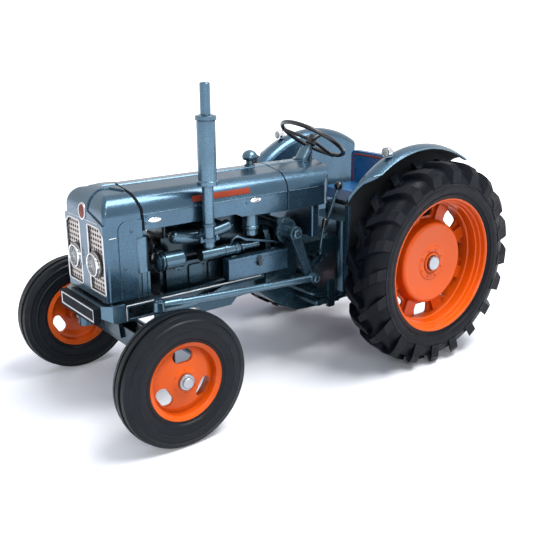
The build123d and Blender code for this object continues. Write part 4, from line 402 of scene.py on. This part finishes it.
def skin(bm, rings, closed_row=False):
    """Faces between neighbouring rings of vertices; a ring of one vertex is a point."""
    rows = list(zip(rings, rings[1:]))
    if closed_row:
        rows.append((rings[-1], rings[0]))
    for first, second in rows:
        count = max(len(first), len(second))
        for at in range(count):
            after = (at + 1) % count
            corners = []
            for ring, order in ((first, (at, after)), (second, (after, at))):
                for place in order:
                    corner = ring[place % len(ring)]
                    if corner not in corners:
                        corners.append(corner)
            bm.faces.new(corners)


def lathe(bm, centre, axis, profile, steps, closed=False):
    """Turned form: the profile holds (distance along the axis, radius) pairs."""
    centre = Vector(centre)
    axis = Vector(axis).normalized()
    side = axis.orthogonal().normalized()
    other = axis.cross(side)
    rings = []
    for along, radius in profile:
        middle = centre + axis * along
        if radius == 0:
            rings.append([bm.verts.new(middle)])
            continue
        turns = [math.tau * step / steps for step in range(steps)]
        rings.append([bm.verts.new(middle + (side * math.cos(turn) + other * math.sin(turn)) * radius)
                      for turn in turns])
    skin(bm, rings, closed_row=closed)


def bolt(bm, place, axis, radius, height):
    """Hexagon head on a thin washer."""
    lathe(bm, place, axis, ((-0.15, 0), (-0.15, radius * 1.25), (0.12, radius * 1.25), (0.12, 0)), 12)
    lathe(bm, place, axis, ((0, 0), (0, radius), (height * 0.8, radius), (height, radius * 0.8),
                            (height, 0)), 6)


def rivet(bm, place, axis, radius, height):
    """Round head, sunk a little at its foot."""
    lathe(bm, place, axis, ((-0.2, 0), (-0.2, radius), (0, radius), (height * 0.6, radius * 0.82),
                            (height * 0.92, radius * 0.42), (height, 0)), 12)


def bolt_pairs(bm, groups):
    """Bolts on both sides; a group is its left side's places and direction, a radius and a height."""
    for places, (ahead, sideways, up), radius, height in groups:
        for x, y, z in places:
            for side in (1, -1):
                bolt(bm, (x, side * y, z), (ahead, side * sideways, up), radius, height)


def ring_places(centre, radius, count, start=0.5):
    """Places evenly round a sideways axis; start is the first one's turn, in steps."""
    turns = [math.tau * (step + start) / count for step in range(count)]
    return [(centre[0] + radius * math.cos(turn), centre[1], centre[2] + radius * math.sin(turn))
            for turn in turns]


def sweep(bm, path, outward, half_width, half_height, closed=False, steps=8):
    """Rounded strip along a path; outward holds the direction of its height at each point."""
    path = [Vector(point) for point in path]
    count = len(path)
    rings = []
    for at, (point, up) in enumerate(zip(path, outward)):
        before = path[at - 1] if closed or at else point
        after = path[(at + 1) % count] if closed or at < count - 1 else point
        along = (after - before).normalized()
        across = along.cross(Vector(up)).normalized()
        up = across.cross(along)
        ring = []
        for step in range(steps):
            turn = math.tau * (step + 0.5) / steps
            ring.append(bm.verts.new(point + across * math.cos(turn) * half_width
                                     + up * math.sin(turn) * half_height))
        rings.append(ring)
    if not closed:
        rings = [[bm.verts.new(path[0])], *rings, [bm.verts.new(path[-1])]]
    skin(bm, rings, closed_row=closed)


def box(bm, low, high):
    """Block between two corners, with its edges rounded."""
    bevel = 0.15
    size = [b - a for a, b in zip(low, high)]
    middle = [(a + b) / 2 for a, b in zip(low, high)]
    made = bmesh.ops.create_cube(bm, size=1.0, matrix=Matrix.Translation(middle)
                                 @ Matrix.Diagonal((*size, 1.0)))
    edges = list({edge for vert in made["verts"] for edge in vert.link_edges})
    bmesh.ops.bevel(bm, geom=edges, offset=min(bevel, min(size) * 0.3), segments=2, affect="EDGES",
                    profile=0.5)


def arc_through(first, middle, last, count):
    """Points of the circle's arc from first over middle to last, in a plane."""
    a, b, c = (Vector(point) for point in (first, middle, last))
    d = 2 * (a.x * (b.y - c.y) + b.x * (c.y - a.y) + c.x * (a.y - b.y))
    centre = Vector((
        (a.length_squared * (b.y - c.y) + b.length_squared * (c.y - a.y)
         + c.length_squared * (a.y - b.y)) / d,
        (a.length_squared * (c.x - b.x) + b.length_squared * (a.x - c.x)
         + c.length_squared * (b.x - a.x)) / d,
    ))
    start = math.atan2(a.y - centre.y, a.x - centre.x)
    turn = (math.atan2(c.y - centre.y, c.x - centre.x) - start + math.pi) % math.tau - math.pi
    radius = (a - centre).length
    return [(centre.x + radius * math.cos(start + turn * step / count),
             centre.y + radius * math.sin(start + turn * step / count)) for step in range(count + 1)]


def rounded(points, radius):
    """Closed outline in a plane with each corner rounded."""
    steps = 5
    outline = []
    count = len(points)
    for at, point in enumerate(points):
        corner = Vector(point)
        back = (Vector(points[at - 1]) - corner).normalized()
        ahead = (Vector(points[(at + 1) % count]) - corner).normalized()
        start = corner + back * radius
        end = corner + ahead * radius
        for step in range(steps + 1):
            share = step / steps
            outline.append(start * (1 - share) ** 2 + corner * 2 * share * (1 - share)
                           + end * share ** 2)
    return outline


def between(table, value):
    """Value read off a short table of (place, value) pairs, straight between its rows."""
    for (start, low), (end, high) in zip(table, table[1:]):
        if min(start, end) <= value <= max(start, end):
            return low + (high - low) * (value - start) / (end - start)
    return table[0][1] if abs(value - table[0][0]) < abs(value - table[-1][0]) else table[-1][1]


# Half of the bonnet's section, as (sideways, height): flat ridge, shoulder's arc, upright side
ridge = [(0, hood_top), (hood_ridge_half, hood_top), (hood_ridge_half + 0.4, hood_top - 0.4)]
shoulder = arc_through((hood_half - 5.8, hood_top - 1.7), (hood_half - 1.5, crease_z + 4.6),
                       (hood_half, crease_z), 10)
hood_outline = [*ridge, *shoulder, (hood_half, hood_low_z)]


def hood_y(z):
    """Half width of the bonnet at a height below its ridge."""
    return between([(height, sideways) for sideways, height in hood_outline[len(ridge):]], z)


def hood_normal(z):
    """Outward direction of the bonnet's left side at a height."""
    rise = 0.3
    slope = (hood_y(z + rise) - hood_y(z - rise)) / (2 * rise)
    return Vector((0, 1, -slope)).normalized()


# Bonnet and nose trim

def seam_strip():
    """Black strip over the seam between the nose cowl and the bonnet."""
    half_width, half_height = 0.62, 0.42
    table = [(z, x) for x, z in seam_places]
    half = [(front_axle_x + between(table, z), y, z) for y, z in hood_outline]
    path = [(x, -y, z) for x, y, z in half[:0:-1]] + half
    outward = []
    for at in range(len(path)):
        before = Vector(path[max(at - 1, 0)])
        after = Vector(path[min(at + 1, len(path) - 1)])
        outward.append(Vector((1, 0, 0)).cross(after - before) * -1)
    bm = bmesh.new()
    sweep(bm, path, outward, half_width, half_height)
    add_piece("seam_strip", bm, seam_rubber)


def nose_x(z):
    """Front of the nose's raised band at a height."""
    if z <= nose_arc_z:
        return nose_face_x
    return nose_arc_x + math.sqrt(nose_arc_radius ** 2 - (z - nose_arc_z) ** 2)


def badge():
    """Plain oval badge, orange-red in a silver border, wrapped on the nose."""
    middle_z = nose_arc_z
    half_y = 3.0
    half_z = 3.3
    steps = 28
    face_rows = ((0, 0.42), (0.45, 0.40), (0.80, 0.28), (0.80, -0.2))  # share of the size, height
    border_rows = ((0.78, -0.2), (0.78, 0.34), (0.88, 0.42), (1.0, 0.30), (1.0, -0.2))
    plans = (("badge", red_trim, "seat_blue", face_rows),
             ("badge_border", silver, "silver", border_rows))
    for name, mat, slot, rows in plans:
        bm = bmesh.new()
        rings = []
        for share, height in rows:
            count = 1 if share == 0 else steps
            ring = []
            for step in range(count):
                turn = math.tau * step / steps
                z = middle_z + half_z * share * math.sin(turn)
                ring.append(bm.verts.new((nose_x(z) + height, half_y * share * math.cos(turn), z)))
            rings.append(ring)
        skin(bm, rings)
        if name == "badge":
            bm.faces.new(rings[-1])
        else:
            skin(bm, [rings[-1], rings[0]])
        add_piece(name, bm, mat)


def nose_beads():
    """Bright beads: one over the windows, and a short one on each side of the cowl."""
    bead_z = 76.9
    side_z = 71.8
    front_size = 0.22
    side_size = 0.24
    bm = bmesh.new()
    path = [(nose_face_x, y, bead_z) for y in (-12.4, -6.0, 0.0, 6.0, 12.4)]
    sweep(bm, path, [(1, 0, 0)] * len(path), front_size, front_size, steps=6)
    for side in (1, -1):
        path = [(front_axle_x + x, side * hood_half, side_z) for x in (11.0, 9.5, 8.2)]
        sweep(bm, path, [(0, side, 0)] * len(path), side_size, side_size, steps=6)
    add_piece("nose_beads", bm, silver)


def window_frames():
    """Silver frame round each grille."""
    corner_radius = 0.9
    half_width, half_height = 0.36, 0.34
    points = ((window_inner, window_low_z), (window_outer, window_low_z),
              (window_outer, window_high_z - window_corner_drop),
              (window_outer - window_cut, window_high_z), (window_inner, window_high_z))
    bm = bmesh.new()
    for side in (1, -1):
        path = [(nose_face_x - 0.1, side * y, z) for y, z in rounded(points, corner_radius)]
        sweep(bm, path, [(1, 0, 0)] * len(path), half_width, half_height, closed=True)
    add_piece("window_frames", bm, silver)


def cowl_rivets():
    """Two round rivets on each raised side panel of the cowl."""
    places = ((2.2, 73.6), (5.3, 60.1))  # from the front axle, and height
    panel_rise = 0.4
    bm = bmesh.new()
    for side in (1, -1):
        for x, z in places:
            rivet(bm, (front_axle_x + x, side * (hood_half + panel_rise), z), (0, side, 0), 0.62, 0.42)
    add_piece("cowl_rivets", bm, body_paint)


def headlamp_bezels():
    """Chrome bezel of each headlamp over a black ring on the grille, a painted shadow of the bezel."""
    bezel_profile = ((0.3, 4.5), (1.7, 4.55), (2.1, 4.4), (2.25, 4.1), (2.1, 3.85), (1.3, 3.72),
                     (0.3, 3.7))
    shadow_ring_profile = ((0.02, 4.4), (0.02, 5.15), (0.6, 5.15), (0.75, 4.9), (0.75, 4.4))
    bezel = bmesh.new()
    seat = bmesh.new()
    for side in (1, -1):
        centre = (grille_face_x, side * headlamp_y, headlamp_z)
        lathe(bezel, centre, (1, 0, 0), bezel_profile, 40, closed=True)
        # Painted shadow: the black ring round each bezel stands for the bezel's shadow on the grille
        lathe(seat, centre, (1, 0, 0), shadow_ring_profile, 40, closed=True)
    add_piece("headlamp_bezels", bezel, chrome)
    add_piece("headlamp_shadow_rings", seat, dark_plastic)


def side_strips():
    """Blank orange-red strip along each side of the bonnet."""
    stations = 24
    start, end = 102.6, 75.8  # ahead of the rear axle
    rows = (80.6, 81.2, 81.8, 82.3, 82.7)  # heights
    thickness = 0.30
    for name, side in both_sides:
        bm = bmesh.new()
        rings = []
        for step in range(stations + 1):
            x = rear_axle_x + start + (end - start) * step / stations
            ring = []
            for lift, heights in ((thickness, rows), (-thickness, rows[::-1])):
                for z in heights:
                    point = Vector((x, hood_y(z), z)) + hood_normal(z) * lift
                    ring.append(bm.verts.new((point.x, side * point.y, point.z)))
            rings.append(ring)
        skin(bm, rings)
        bm.faces.new(rings[0])
        bm.faces.new(rings[-1])
        add_piece(f"side_strip_{name}", bm, red_trim)


def bonnet_fittings():
    """Oval chrome latches with their screws, and pairs of rivets, on each side of the bonnet."""
    latch_profile = ((-0.3, 0), (-0.3, 1.0), (0.25, 1.0), (0.42, 0.86), (0.34, 0.7), (0.5, 0.4),
                     (0.55, 0))
    latch_stretch = (2.75, 1.0, 0.95)
    latches = ((119.2, 76.3), (73.3, 77.5))  # ahead of the rear axle, and height
    screws = ((122.6, 77.9), (122.8, 75.6), (117.6, 79.3), (77.2, 78.9), (77.4, 76.8),
              (103.4, 79.0), (101.4, 79.1), (85.2, 79.4), (83.2, 79.5))
    latch_bm = bmesh.new()
    screw_bm = bmesh.new()
    for side in (1, -1):
        for x, z in latches:
            made = bmesh.new()
            lathe(made, (0, 0, 0), (0, side, 0), latch_profile, 28)
            bmesh.ops.scale(made, vec=latch_stretch, verts=made.verts)
            bmesh.ops.translate(made, vec=(rear_axle_x + x, side * hood_half, z), verts=made.verts)
            mesh = bpy.data.meshes.new("latch")
            made.to_mesh(mesh)
            made.free()
            latch_bm.from_mesh(mesh)
            bpy.data.meshes.remove(mesh)
        for x, z in screws:
            normal = hood_normal(z)
            rivet(screw_bm, (rear_axle_x + x, side * hood_y(z), z), (0, side * normal.y, normal.z),
                  0.55, 0.45)
    add_piece("bonnet_latches", latch_bm, chrome)
    add_piece("bonnet_screws", screw_bm, lit_linkage_paint)


def crease_beads():
    """Rolled edge along the crease of the bonnet and the tank, in a lighter paint that stands for the light it
    catches: a painted highlight.
    """
    spans = ((124.0, 57.6), (56.4, 40.5))  # ahead of the rear axle: the bonnet's, then the tank's
    stands_out = 0.18
    drop = 0.05
    half_width, half_height = 0.2, 0.16
    count = 12
    bm = bmesh.new()
    for side in (1, -1):
        for start, end in spans:
            path = [(rear_axle_x + start + (end - start) * step / count,
                     side * (hood_half + stands_out), crease_z - drop) for step in range(count + 1)]
            sweep(bm, path, [(0, side, 0)] * len(path), half_width, half_height, steps=6)
    add_piece("crease_beads", bm, highlight_bead_paint)


seam_strip()
badge()
nose_beads()
window_frames()
cowl_rivets()
headlamp_bezels()
side_strips()
bonnet_fittings()
crease_beads()


# Number plate and rails

def plate_border():
    """Silver border inside the blank plate's rim."""
    inset, behind_rim = 1.05, 0.27
    half_width, half_height = 0.42, 0.26
    plate_low, plate_high = cad_box_of("number_plate")
    face_x = plate_high.x - behind_rim
    half_y, low_z, high_z = plate_high.y - inset, plate_low.z + inset, plate_high.z - inset
    bm = bmesh.new()
    points = ((-half_y, low_z), (half_y, low_z), (half_y, high_z), (-half_y, high_z))
    path = [(face_x, y, z) for y, z in rounded(points, 0.3)]
    sweep(bm, path, [(1, 0, 0)] * len(path), half_width, half_height, closed=True, steps=6)
    add_piece("plate_border", bm, silver)


def rail_trim():
    """Silver bead along the edge of each side rail, a painted highlight, and the bolts of the rails and the
    casting.
    """
    rail_low, rail_high = cad_box_of("side_rails")
    _, casting_high = cad_box_of("front_casting")
    edge_size = 0.26
    side_sunk, top_sunk, foot_rise = 0.1, 0.05, 0.2  # the edge's middle, from the rail's faces
    edge_y = rail_high.y - side_sunk
    edge_low_z, edge_high_z = rail_low.z + foot_rise, rail_high.z - top_sunk
    front_x = rail_high.x - side_sunk
    points = ((front_x, edge_low_z), (front_x, edge_high_z), (block_front_x, edge_high_z),
              (rear_axle_x + 72.0, edge_high_z))
    casting_side = [(front_axle_x + x, 15.4, 43.2) for x in (3.4, -2.0, -9.0)]
    casting_top = [(front_axle_x + x, y, casting_high.z) for x, y in ((11.5, 16.2), (9.0, 10.0))]
    rail_top = [(rear_axle_x + x, 16.2, rail_high.z) for x in (86.5, 100.5)]
    edge = bmesh.new()
    bolts = bmesh.new()
    for side in (1, -1):
        path = []
        for (x0, z0), (x1, z1) in zip(points, points[1:]):
            path += [(x0 + (x1 - x0) * share / 4, side * edge_y, z0 + (z1 - z0) * share / 4)
                     for share in range(4)]
        path.append((points[-1][0], side * edge_y, points[-1][1]))
        sweep(edge, path, [(0, side, 0)] * len(path), edge_size, edge_size, steps=6)
    bolt_pairs(bolts, ((casting_side, (0, 1, 0), 0.7, 0.6), (rail_top, (0, 0, 1), 0.5, 0.35),
                       (casting_top, (0, 0, 1), 0.6, 0.4)))
    # Painted highlight: silver bead where the rail's top edge catches the light
    add_piece("rail_edge_highlights", edge, silver)
    add_piece("rail_bolts", bolts, shaded_casting_paint)


plate_border()
rail_trim()


# Engine, steering and rear end

def flange_bolts():
    """Bolts on the flanges of the engine, the steering box, the trumpets and the housing."""
    sump_count, sump_end = 8, 3.0
    sump_rear, sump_front = block_rear_x + sump_end, block_front_x - sump_end
    sump = [(sump_rear + (sump_front - sump_rear) * step / (sump_count - 1), 9.8, 42.0)
            for step in range(sump_count)]
    block = [(block_rear_x + 6.0 + 11.2 * step, 10.5, z) for step in range(4) for z in (47.9, 53.3)]
    trumpet = ring_places((rear_axle_x, 15.5, rear_axle_z), 9.2, 6)
    bell = [(rear_axle_x + 63.9, y, z)
            for y, z in ((12.6, 40.0), (13.3, 46.5), (13.3, 56.0), (11.5, 62.6))]
    cover = [(rear_axle_x + x, 11.6, 64.6) for x in (-9.0, 1.0, 11.0)]
    steering_box = ring_places((cross_shaft.x, 16.6, cross_shaft.z), 4.2, 6, start=0)
    exhaust = [(rear_axle_x + x, 14.6, z) for x, z in ((84.5, 68.7), (111.5, 68.5))]
    bm = bmesh.new()
    bolt_pairs(bm, ((sump, (0, 0, -1), 0.45, 0.4), (block, (0, 1, 0), 0.42, 0.35),
                    (trumpet, (0, 1, 0), 0.55, 0.5), (bell, (-1, 0, 0), 0.55, 0.5),
                    (cover, (0, 0, 1), 0.5, 0.4)))
    for place in steering_box:
        bolt(bm, place, (0, 1, 0), 0.48, 0.4)
    for place in exhaust:
        bolt(bm, place, (0, 1, 0), 0.5, 1.4)
    add_piece("flange_bolts", bm, shaded_casting_paint)


def exhaust_clamps():
    """Clamp with two bolts at the exhaust's foot, and a band higher on the down pipe."""
    pipe_x, pipe_y = rear_axle_x + 98.0, 20.0
    pipe_radius, band_radius = 2.1, 2.75
    ear_low_z, ear_high_z, ear_half_y = 65.3, 66.7, 0.9
    bm = bmesh.new()
    for low, high in ((65.2, 66.8), (71.4, 72.4)):
        lathe(bm, (pipe_x, pipe_y, 0), (0, 0, 1), ((low, pipe_radius), (low, band_radius),
                                                   (high, band_radius), (high, pipe_radius)), 28,
              closed=True)
    for start, end in ((-4.3, -2.3), (2.3, 4.3)):
        box(bm, (pipe_x + start, pipe_y - ear_half_y, ear_low_z),
            (pipe_x + end, pipe_y + ear_half_y, ear_high_z))
    for x in (-3.5, 3.5):
        bolt(bm, (pipe_x + x, pipe_y, ear_high_z), (0, 0, 1), 0.6, 0.6)
    add_piece("exhaust_clamps", bm, body_paint)


def toolbox_fittings():
    """Hasp, staple, rivets and hinges of the toolbox."""
    toolbox_low, toolbox_high = cad_box_of("toolbox")
    middle_x = (toolbox_low.x + toolbox_high.x) / 2
    hasp_thickness = 0.4
    face_y = toolbox_high.y + hasp_thickness
    hasp_half, hasp_low_z, hasp_high_z = 0.55, 50.6, 55.0
    staple_profile = ((-0.3, 0), (-0.3, 0.9), (0.3, 0.9), (0.3, 0))
    hinge_half, hinge_low_z, hinge_high_z = 1.4, 55.2, 55.75
    hasp = bmesh.new()
    box(hasp, (middle_x - hasp_half, face_y - 0.6, hasp_low_z), (middle_x + hasp_half, face_y, hasp_high_z))
    lathe(hasp, (middle_x, face_y, hasp_low_z + 1.1), (0, 1, 0), staple_profile, 14)
    add_piece("toolbox_hasp", hasp, dark_plastic)
    hinges = bmesh.new()
    for x in (middle_x - 10.0, middle_x + 10.0):
        box(hinges, (x - hinge_half, 14.0, hinge_low_z), (x + hinge_half, 15.4, hinge_high_z))
    for x in (middle_x - 2.2, middle_x + 2.2):
        rivet(hinges, (x, 18.3, 52.4), (0, 1, 0), 0.35, 0.25)
    add_piece("toolbox_hinges", hinges, body_paint)


def steering_nuts():
    """Nuts on the drop arm's pins, riding on the drop arm."""
    shaft_end = (cross_shaft.x, 23.1, cross_shaft.z)
    pin_end = (drag_pin.x, 25.95, drag_pin.z)
    shaft_nut = ((0, 1.35), (0, 2.0), (0.9, 2.0), (1.1, 1.7), (1.1, 1.35))
    pin_nut = ((0, 0.92), (0, 1.6), (0.7, 1.6), (0.9, 1.3), (0.9, 0.92))
    bm = bmesh.new()
    lathe(bm, shaft_end, (0, 1, 0), shaft_nut, 6, closed=True)
    lathe(bm, pin_end, (0, 1, 0), pin_nut, 6, closed=True)
    add_piece("steering_nuts", bm, lit_linkage_paint, "drop_arm")


def lever_knobs():
    """Black ball of the gear lever and black grip of the side lever."""
    ball = 2.0
    gear_ball = (rear_axle_x + 22.9, 10.0, 76.0)
    grip = (rear_axle_x + 34.0, 14.0, 63.0)
    grip_way = (-2.0, 0, 9.0)
    grip_profile = ((-3.4, 0), (-3.4, 0.9), (-2.6, 1.15), (0, 1.2), (0.5, 0.8), (0.6, 0))
    bm = bmesh.new()
    profile = [(ball * -math.cos(math.pi * step / 12), ball * math.sin(math.pi * step / 12))
               for step in range(1, 12)]
    lathe(bm, gear_ball, (0, 0, 1), ((-ball, 0), *profile, (ball, 0)), 24)
    lathe(bm, grip, grip_way, grip_profile, 16)
    add_piece("lever_knobs", bm, dark_plastic)


flange_bolts()
exhaust_clamps()
toolbox_fittings()
steering_nuts()
lever_knobs()


# Driver's place and fenders

def seat_piping():
    """Orange-red line round the front of the seat's back."""
    inset, back_depth = 1.6, 3.0
    seat_low, seat_high = cad_box_of("seat")
    face_x = seat_low.x + back_depth
    half_y, low_z, high_z, corner = seat_high.y - inset, 72.4, seat_high.z - inset, 1.8
    path = [(face_x, -half_y, low_z), (face_x, -half_y, high_z - corner)]
    corner_steps = 6
    for side in (-1, 1):
        for step in range(corner_steps + 1)[::-side]:
            turn = math.pi / 2 * step / corner_steps
            path.append((face_x, side * (half_y - corner + corner * math.cos(turn)),
                         high_z - corner + corner * math.sin(turn)))
    below_corner = 0.5
    path += [(face_x, half_y, high_z - corner - below_corner), (face_x, half_y, low_z)]
    half_width, half_height = 0.42, 0.32
    bm = bmesh.new()
    sweep(bm, path, [(1, 0, 0)] * len(path), half_width, half_height)
    add_piece("seat_piping", bm, red_trim)


# Fender's crown in section, as (sideways, radius), and its lip in plan, as (ahead of the axle, reach)
fender_profile = ((31.0, 47.3), (32.6, 49.5), (34.4, 50.4), (36.4, 50.7), (38.9, 50.0), (40.5, 49.1))
fender_width = ((38.0, 32.8), (27.0, 40.5), (-60.0, 40.5))


def fender_beads():
    """Rolled bead along the outer lip of each fender, in a lighter paint: a painted highlight."""
    front_angle, rear_angle = 53.5, 121.5  # degrees round the axle, from straight ahead
    half_width, half_height = 0.42, 0.36
    count = 60
    for name, side in both_sides:
        path = []
        outward = []
        for step in range(count + 1):
            turn = math.radians(front_angle + (rear_angle - front_angle) * step / count)
            reach = fender_profile[-1][1]
            for _ in range(3):  # the lip's reach and radius depend on each other
                y = between(fender_width, reach * math.cos(turn))
                reach = between(fender_profile, y)
            away = Vector((math.cos(turn), 0, math.sin(turn)))
            path.append((rear_axle_x + reach * away.x, side * y, rear_axle_z + reach * away.z))
            outward.append(Vector((away.x * 0.5, side, away.z * 0.5)))
        bm = bmesh.new()
        sweep(bm, path, outward, half_width, half_height)
        add_piece(f"fender_bead_{name}", bm, highlight_bead_paint)


def side_lamp_glasses():
    """Domed glass on the front of each side lamp."""
    lamp_x, lamp_y, lamp_z = rear_axle_x + 20.0, 36.4, 93.7
    profile = ((0.82, 0), (0.82, 1.75), (1.15, 1.75), (1.5, 1.2), (1.65, 0.6), (1.7, 0))
    bm = bmesh.new()
    for side in (1, -1):
        lathe(bm, (lamp_x, side * lamp_y, lamp_z), (1, 0, 0), profile, 24)
    add_piece("side_lamp_glasses", bm, lamp_lens)


seat_piping()
fender_beads()
side_lamp_glasses()


# Wheels

def wheel_trim():
    """Bolt rings on the wheels, and a steel cap over each front stub axle."""
    hub_face, bolt_face, front_face, cap_face = 45.75, 46.15, 47.1, 47.64  # from the middle, sideways
    hub_ring = ((0, 3.5), (0, 4.4), (0.5, 4.4), (0.7, 4.1), (0.7, 3.5))
    cap_profile = ((0, 0), (0, 2.96), (0.9, 2.96), (1.12, 2.75), (1.12, 2.1), (1.9, 2.05), (2.2, 1.75),
                   (2.25, 0))
    for name, side in both_sides:
        rear = bmesh.new()
        for place in ring_places((rear_axle_x, side * bolt_face, rear_axle_z), 6.3, 8):
            rivet(rear, place, (0, side, 0), 0.62, 0.5)
        lathe(rear, (rear_axle_x, side * hub_face, rear_axle_z), (0, side, 0), hub_ring, 32, closed=True)
        add_piece(f"rear_wheel_bolts_{name}", rear, wheel_paint, f"rear_wheel_{name}")
        front = bmesh.new()
        for place in ring_places((front_axle_x, side * front_face, front_axle_z), 4.3, 6):
            rivet(front, place, (0, side, 0), 0.38, 0.35)
        add_piece(f"front_wheel_bolts_{name}", front, wheel_paint, f"front_wheel_{name}")
        cap = bmesh.new()
        lathe(cap, (front_axle_x, side * cap_face, front_axle_z), (0, side, 0), cap_profile, 40)
        add_piece(f"front_cap_{name}", cap, steel, f"knuckle_{name}")


wheel_trim()

# Camera, fitted to the photograph by its place, three turns and its lens
eye = Vector((rear_axle_x + 254.790, 265.320, 143.490)) * MM
yaw, pitch, roll = 4.06855295, 0.295889515, -0.00762290
camera_data = bpy.data.cameras.new("camera")
camera_data.lens = 53.02
camera_data.sensor_width = 36.0
camera_data.clip_start = 0.01
camera_data.clip_end = 40.0
camera = bpy.data.objects.new("camera", camera_data)
bpy.context.scene.collection.objects.link(camera)
bpy.context.scene.camera = camera
look = Vector((math.cos(pitch) * math.cos(yaw), math.cos(pitch) * math.sin(yaw), -math.sin(pitch)))
level = look.cross(Vector((0, 0, 1))).normalized()
rise = level.cross(look)
right = level * math.cos(roll) + rise * math.sin(roll)
upward = rise * math.cos(roll) - level * math.sin(roll)
camera.matrix_world = Matrix.Translation(eye) @ Matrix((right, upward, -look)).transposed().to_4x4()


# Floor and backdrop: white to the camera and in reflections, with the shadow kept

def seen_rays(tree):
    """1 for camera, glossy and transmission rays, 0 for the rays that light the object."""
    path = node(tree, "ShaderNodeLightPath")
    seen = maths(tree, "MAXIMUM", path.outputs["Is Camera Ray"], path.outputs["Is Glossy Ray"])
    return maths(tree, "MAXIMUM", seen, path.outputs["Is Transmission Ray"])


def floor_material():
    """Matt white that keeps the shadow near the object and glows to plain white far from it."""
    near_glow, far_glow = 0.02, 1.0
    near, far = 0.06, 0.31  # metres from the origin
    mat = bpy.data.materials.new("floor_white")
    mat.use_nodes = True
    tree = mat.node_tree
    tree.nodes.clear()
    seen = seen_rays(tree)
    away = node(tree, "ShaderNodeVectorMath", operation="LENGTH")
    tree.links.new(coords(tree), away.inputs[0])
    share = spread(tree, away.outputs["Value"], near, far, near_glow, far_glow)
    matte = node(tree, "ShaderNodeBsdfDiffuse")
    tree.links.new(mix_colour(tree, seen, (0.40, 0.41, 0.43), (0.93, 0.935, 0.955)),
                   matte.inputs["Color"])
    glow = node(tree, "ShaderNodeEmission")
    tree.links.new(maths(tree, "MULTIPLY", seen, share), glow.inputs["Strength"])
    both = node(tree, "ShaderNodeAddShader")
    tree.links.new(matte.outputs[0], both.inputs[0])
    tree.links.new(glow.outputs[0], both.inputs[1])
    out = node(tree, "ShaderNodeOutputMaterial")
    tree.links.new(both.outputs[0], out.inputs["Surface"])
    return mat


floor_half = 15.0
floor_mesh = bpy.data.meshes.new("floor")
floor_mesh.from_pydata([(-floor_half, -floor_half, 0), (floor_half, -floor_half, 0),
                        (floor_half, floor_half, 0), (-floor_half, floor_half, 0)], [], [(0, 1, 2, 3)])
floor_mesh.materials.append(floor_material())
floor = bpy.data.objects.new("floor", floor_mesh)
bpy.context.scene.collection.objects.link(floor)


def studio_world():
    """White where it is seen, and a soft bluish sky, brighter overhead, for the light."""
    world = bpy.data.worlds.new("studio")
    bpy.context.scene.world = world
    world.use_nodes = True
    tree = world.node_tree
    background = tree.nodes["Background"]
    seen = seen_rays(tree)
    split = node(tree, "ShaderNodeSeparateXYZ")
    tree.links.new(node(tree, "ShaderNodeTexCoord").outputs["Generated"], split.inputs["Vector"])
    strength = node(tree, "ShaderNodeMix", data_type="FLOAT")
    strength.inputs[3].default_value = 1.0
    tree.links.new(seen, strength.inputs[0])
    tree.links.new(spread(tree, split.outputs["Z"], 0.0, 0.9, 0.16, 0.72), strength.inputs[2])
    tree.links.new(strength.outputs[0], background.inputs["Strength"])
    tree.links.new(mix_colour(tree, seen, (0.78, 0.84, 1.0), (1.0, 1.0, 1.0)),
                   background.inputs["Color"])


def area(name, place, size, power):
    """Rectangular lamp that looks at the middle of the object."""
    target = Vector((0, 0, 0.06))
    data = bpy.data.lights.new(name, "AREA")
    data.shape = "RECTANGLE"
    data.size, data.size_y = size
    data.energy = power
    lamp = bpy.data.objects.new(name, data)
    bpy.context.scene.collection.objects.link(lamp)
    lamp.location = place
    lamp.rotation_mode = "QUATERNION"
    lamp.rotation_quaternion = (target - Vector(place)).to_track_quat("-Z", "Y")


studio_world()
area("key_top", (-0.16, 0.26, 0.70), (0.50, 0.30), 5.7)
area("left_side", (0.34, 0.78, 0.42), (0.35, 0.25), 1.7)

bpy.context.scene.view_settings.view_transform = "Standard"
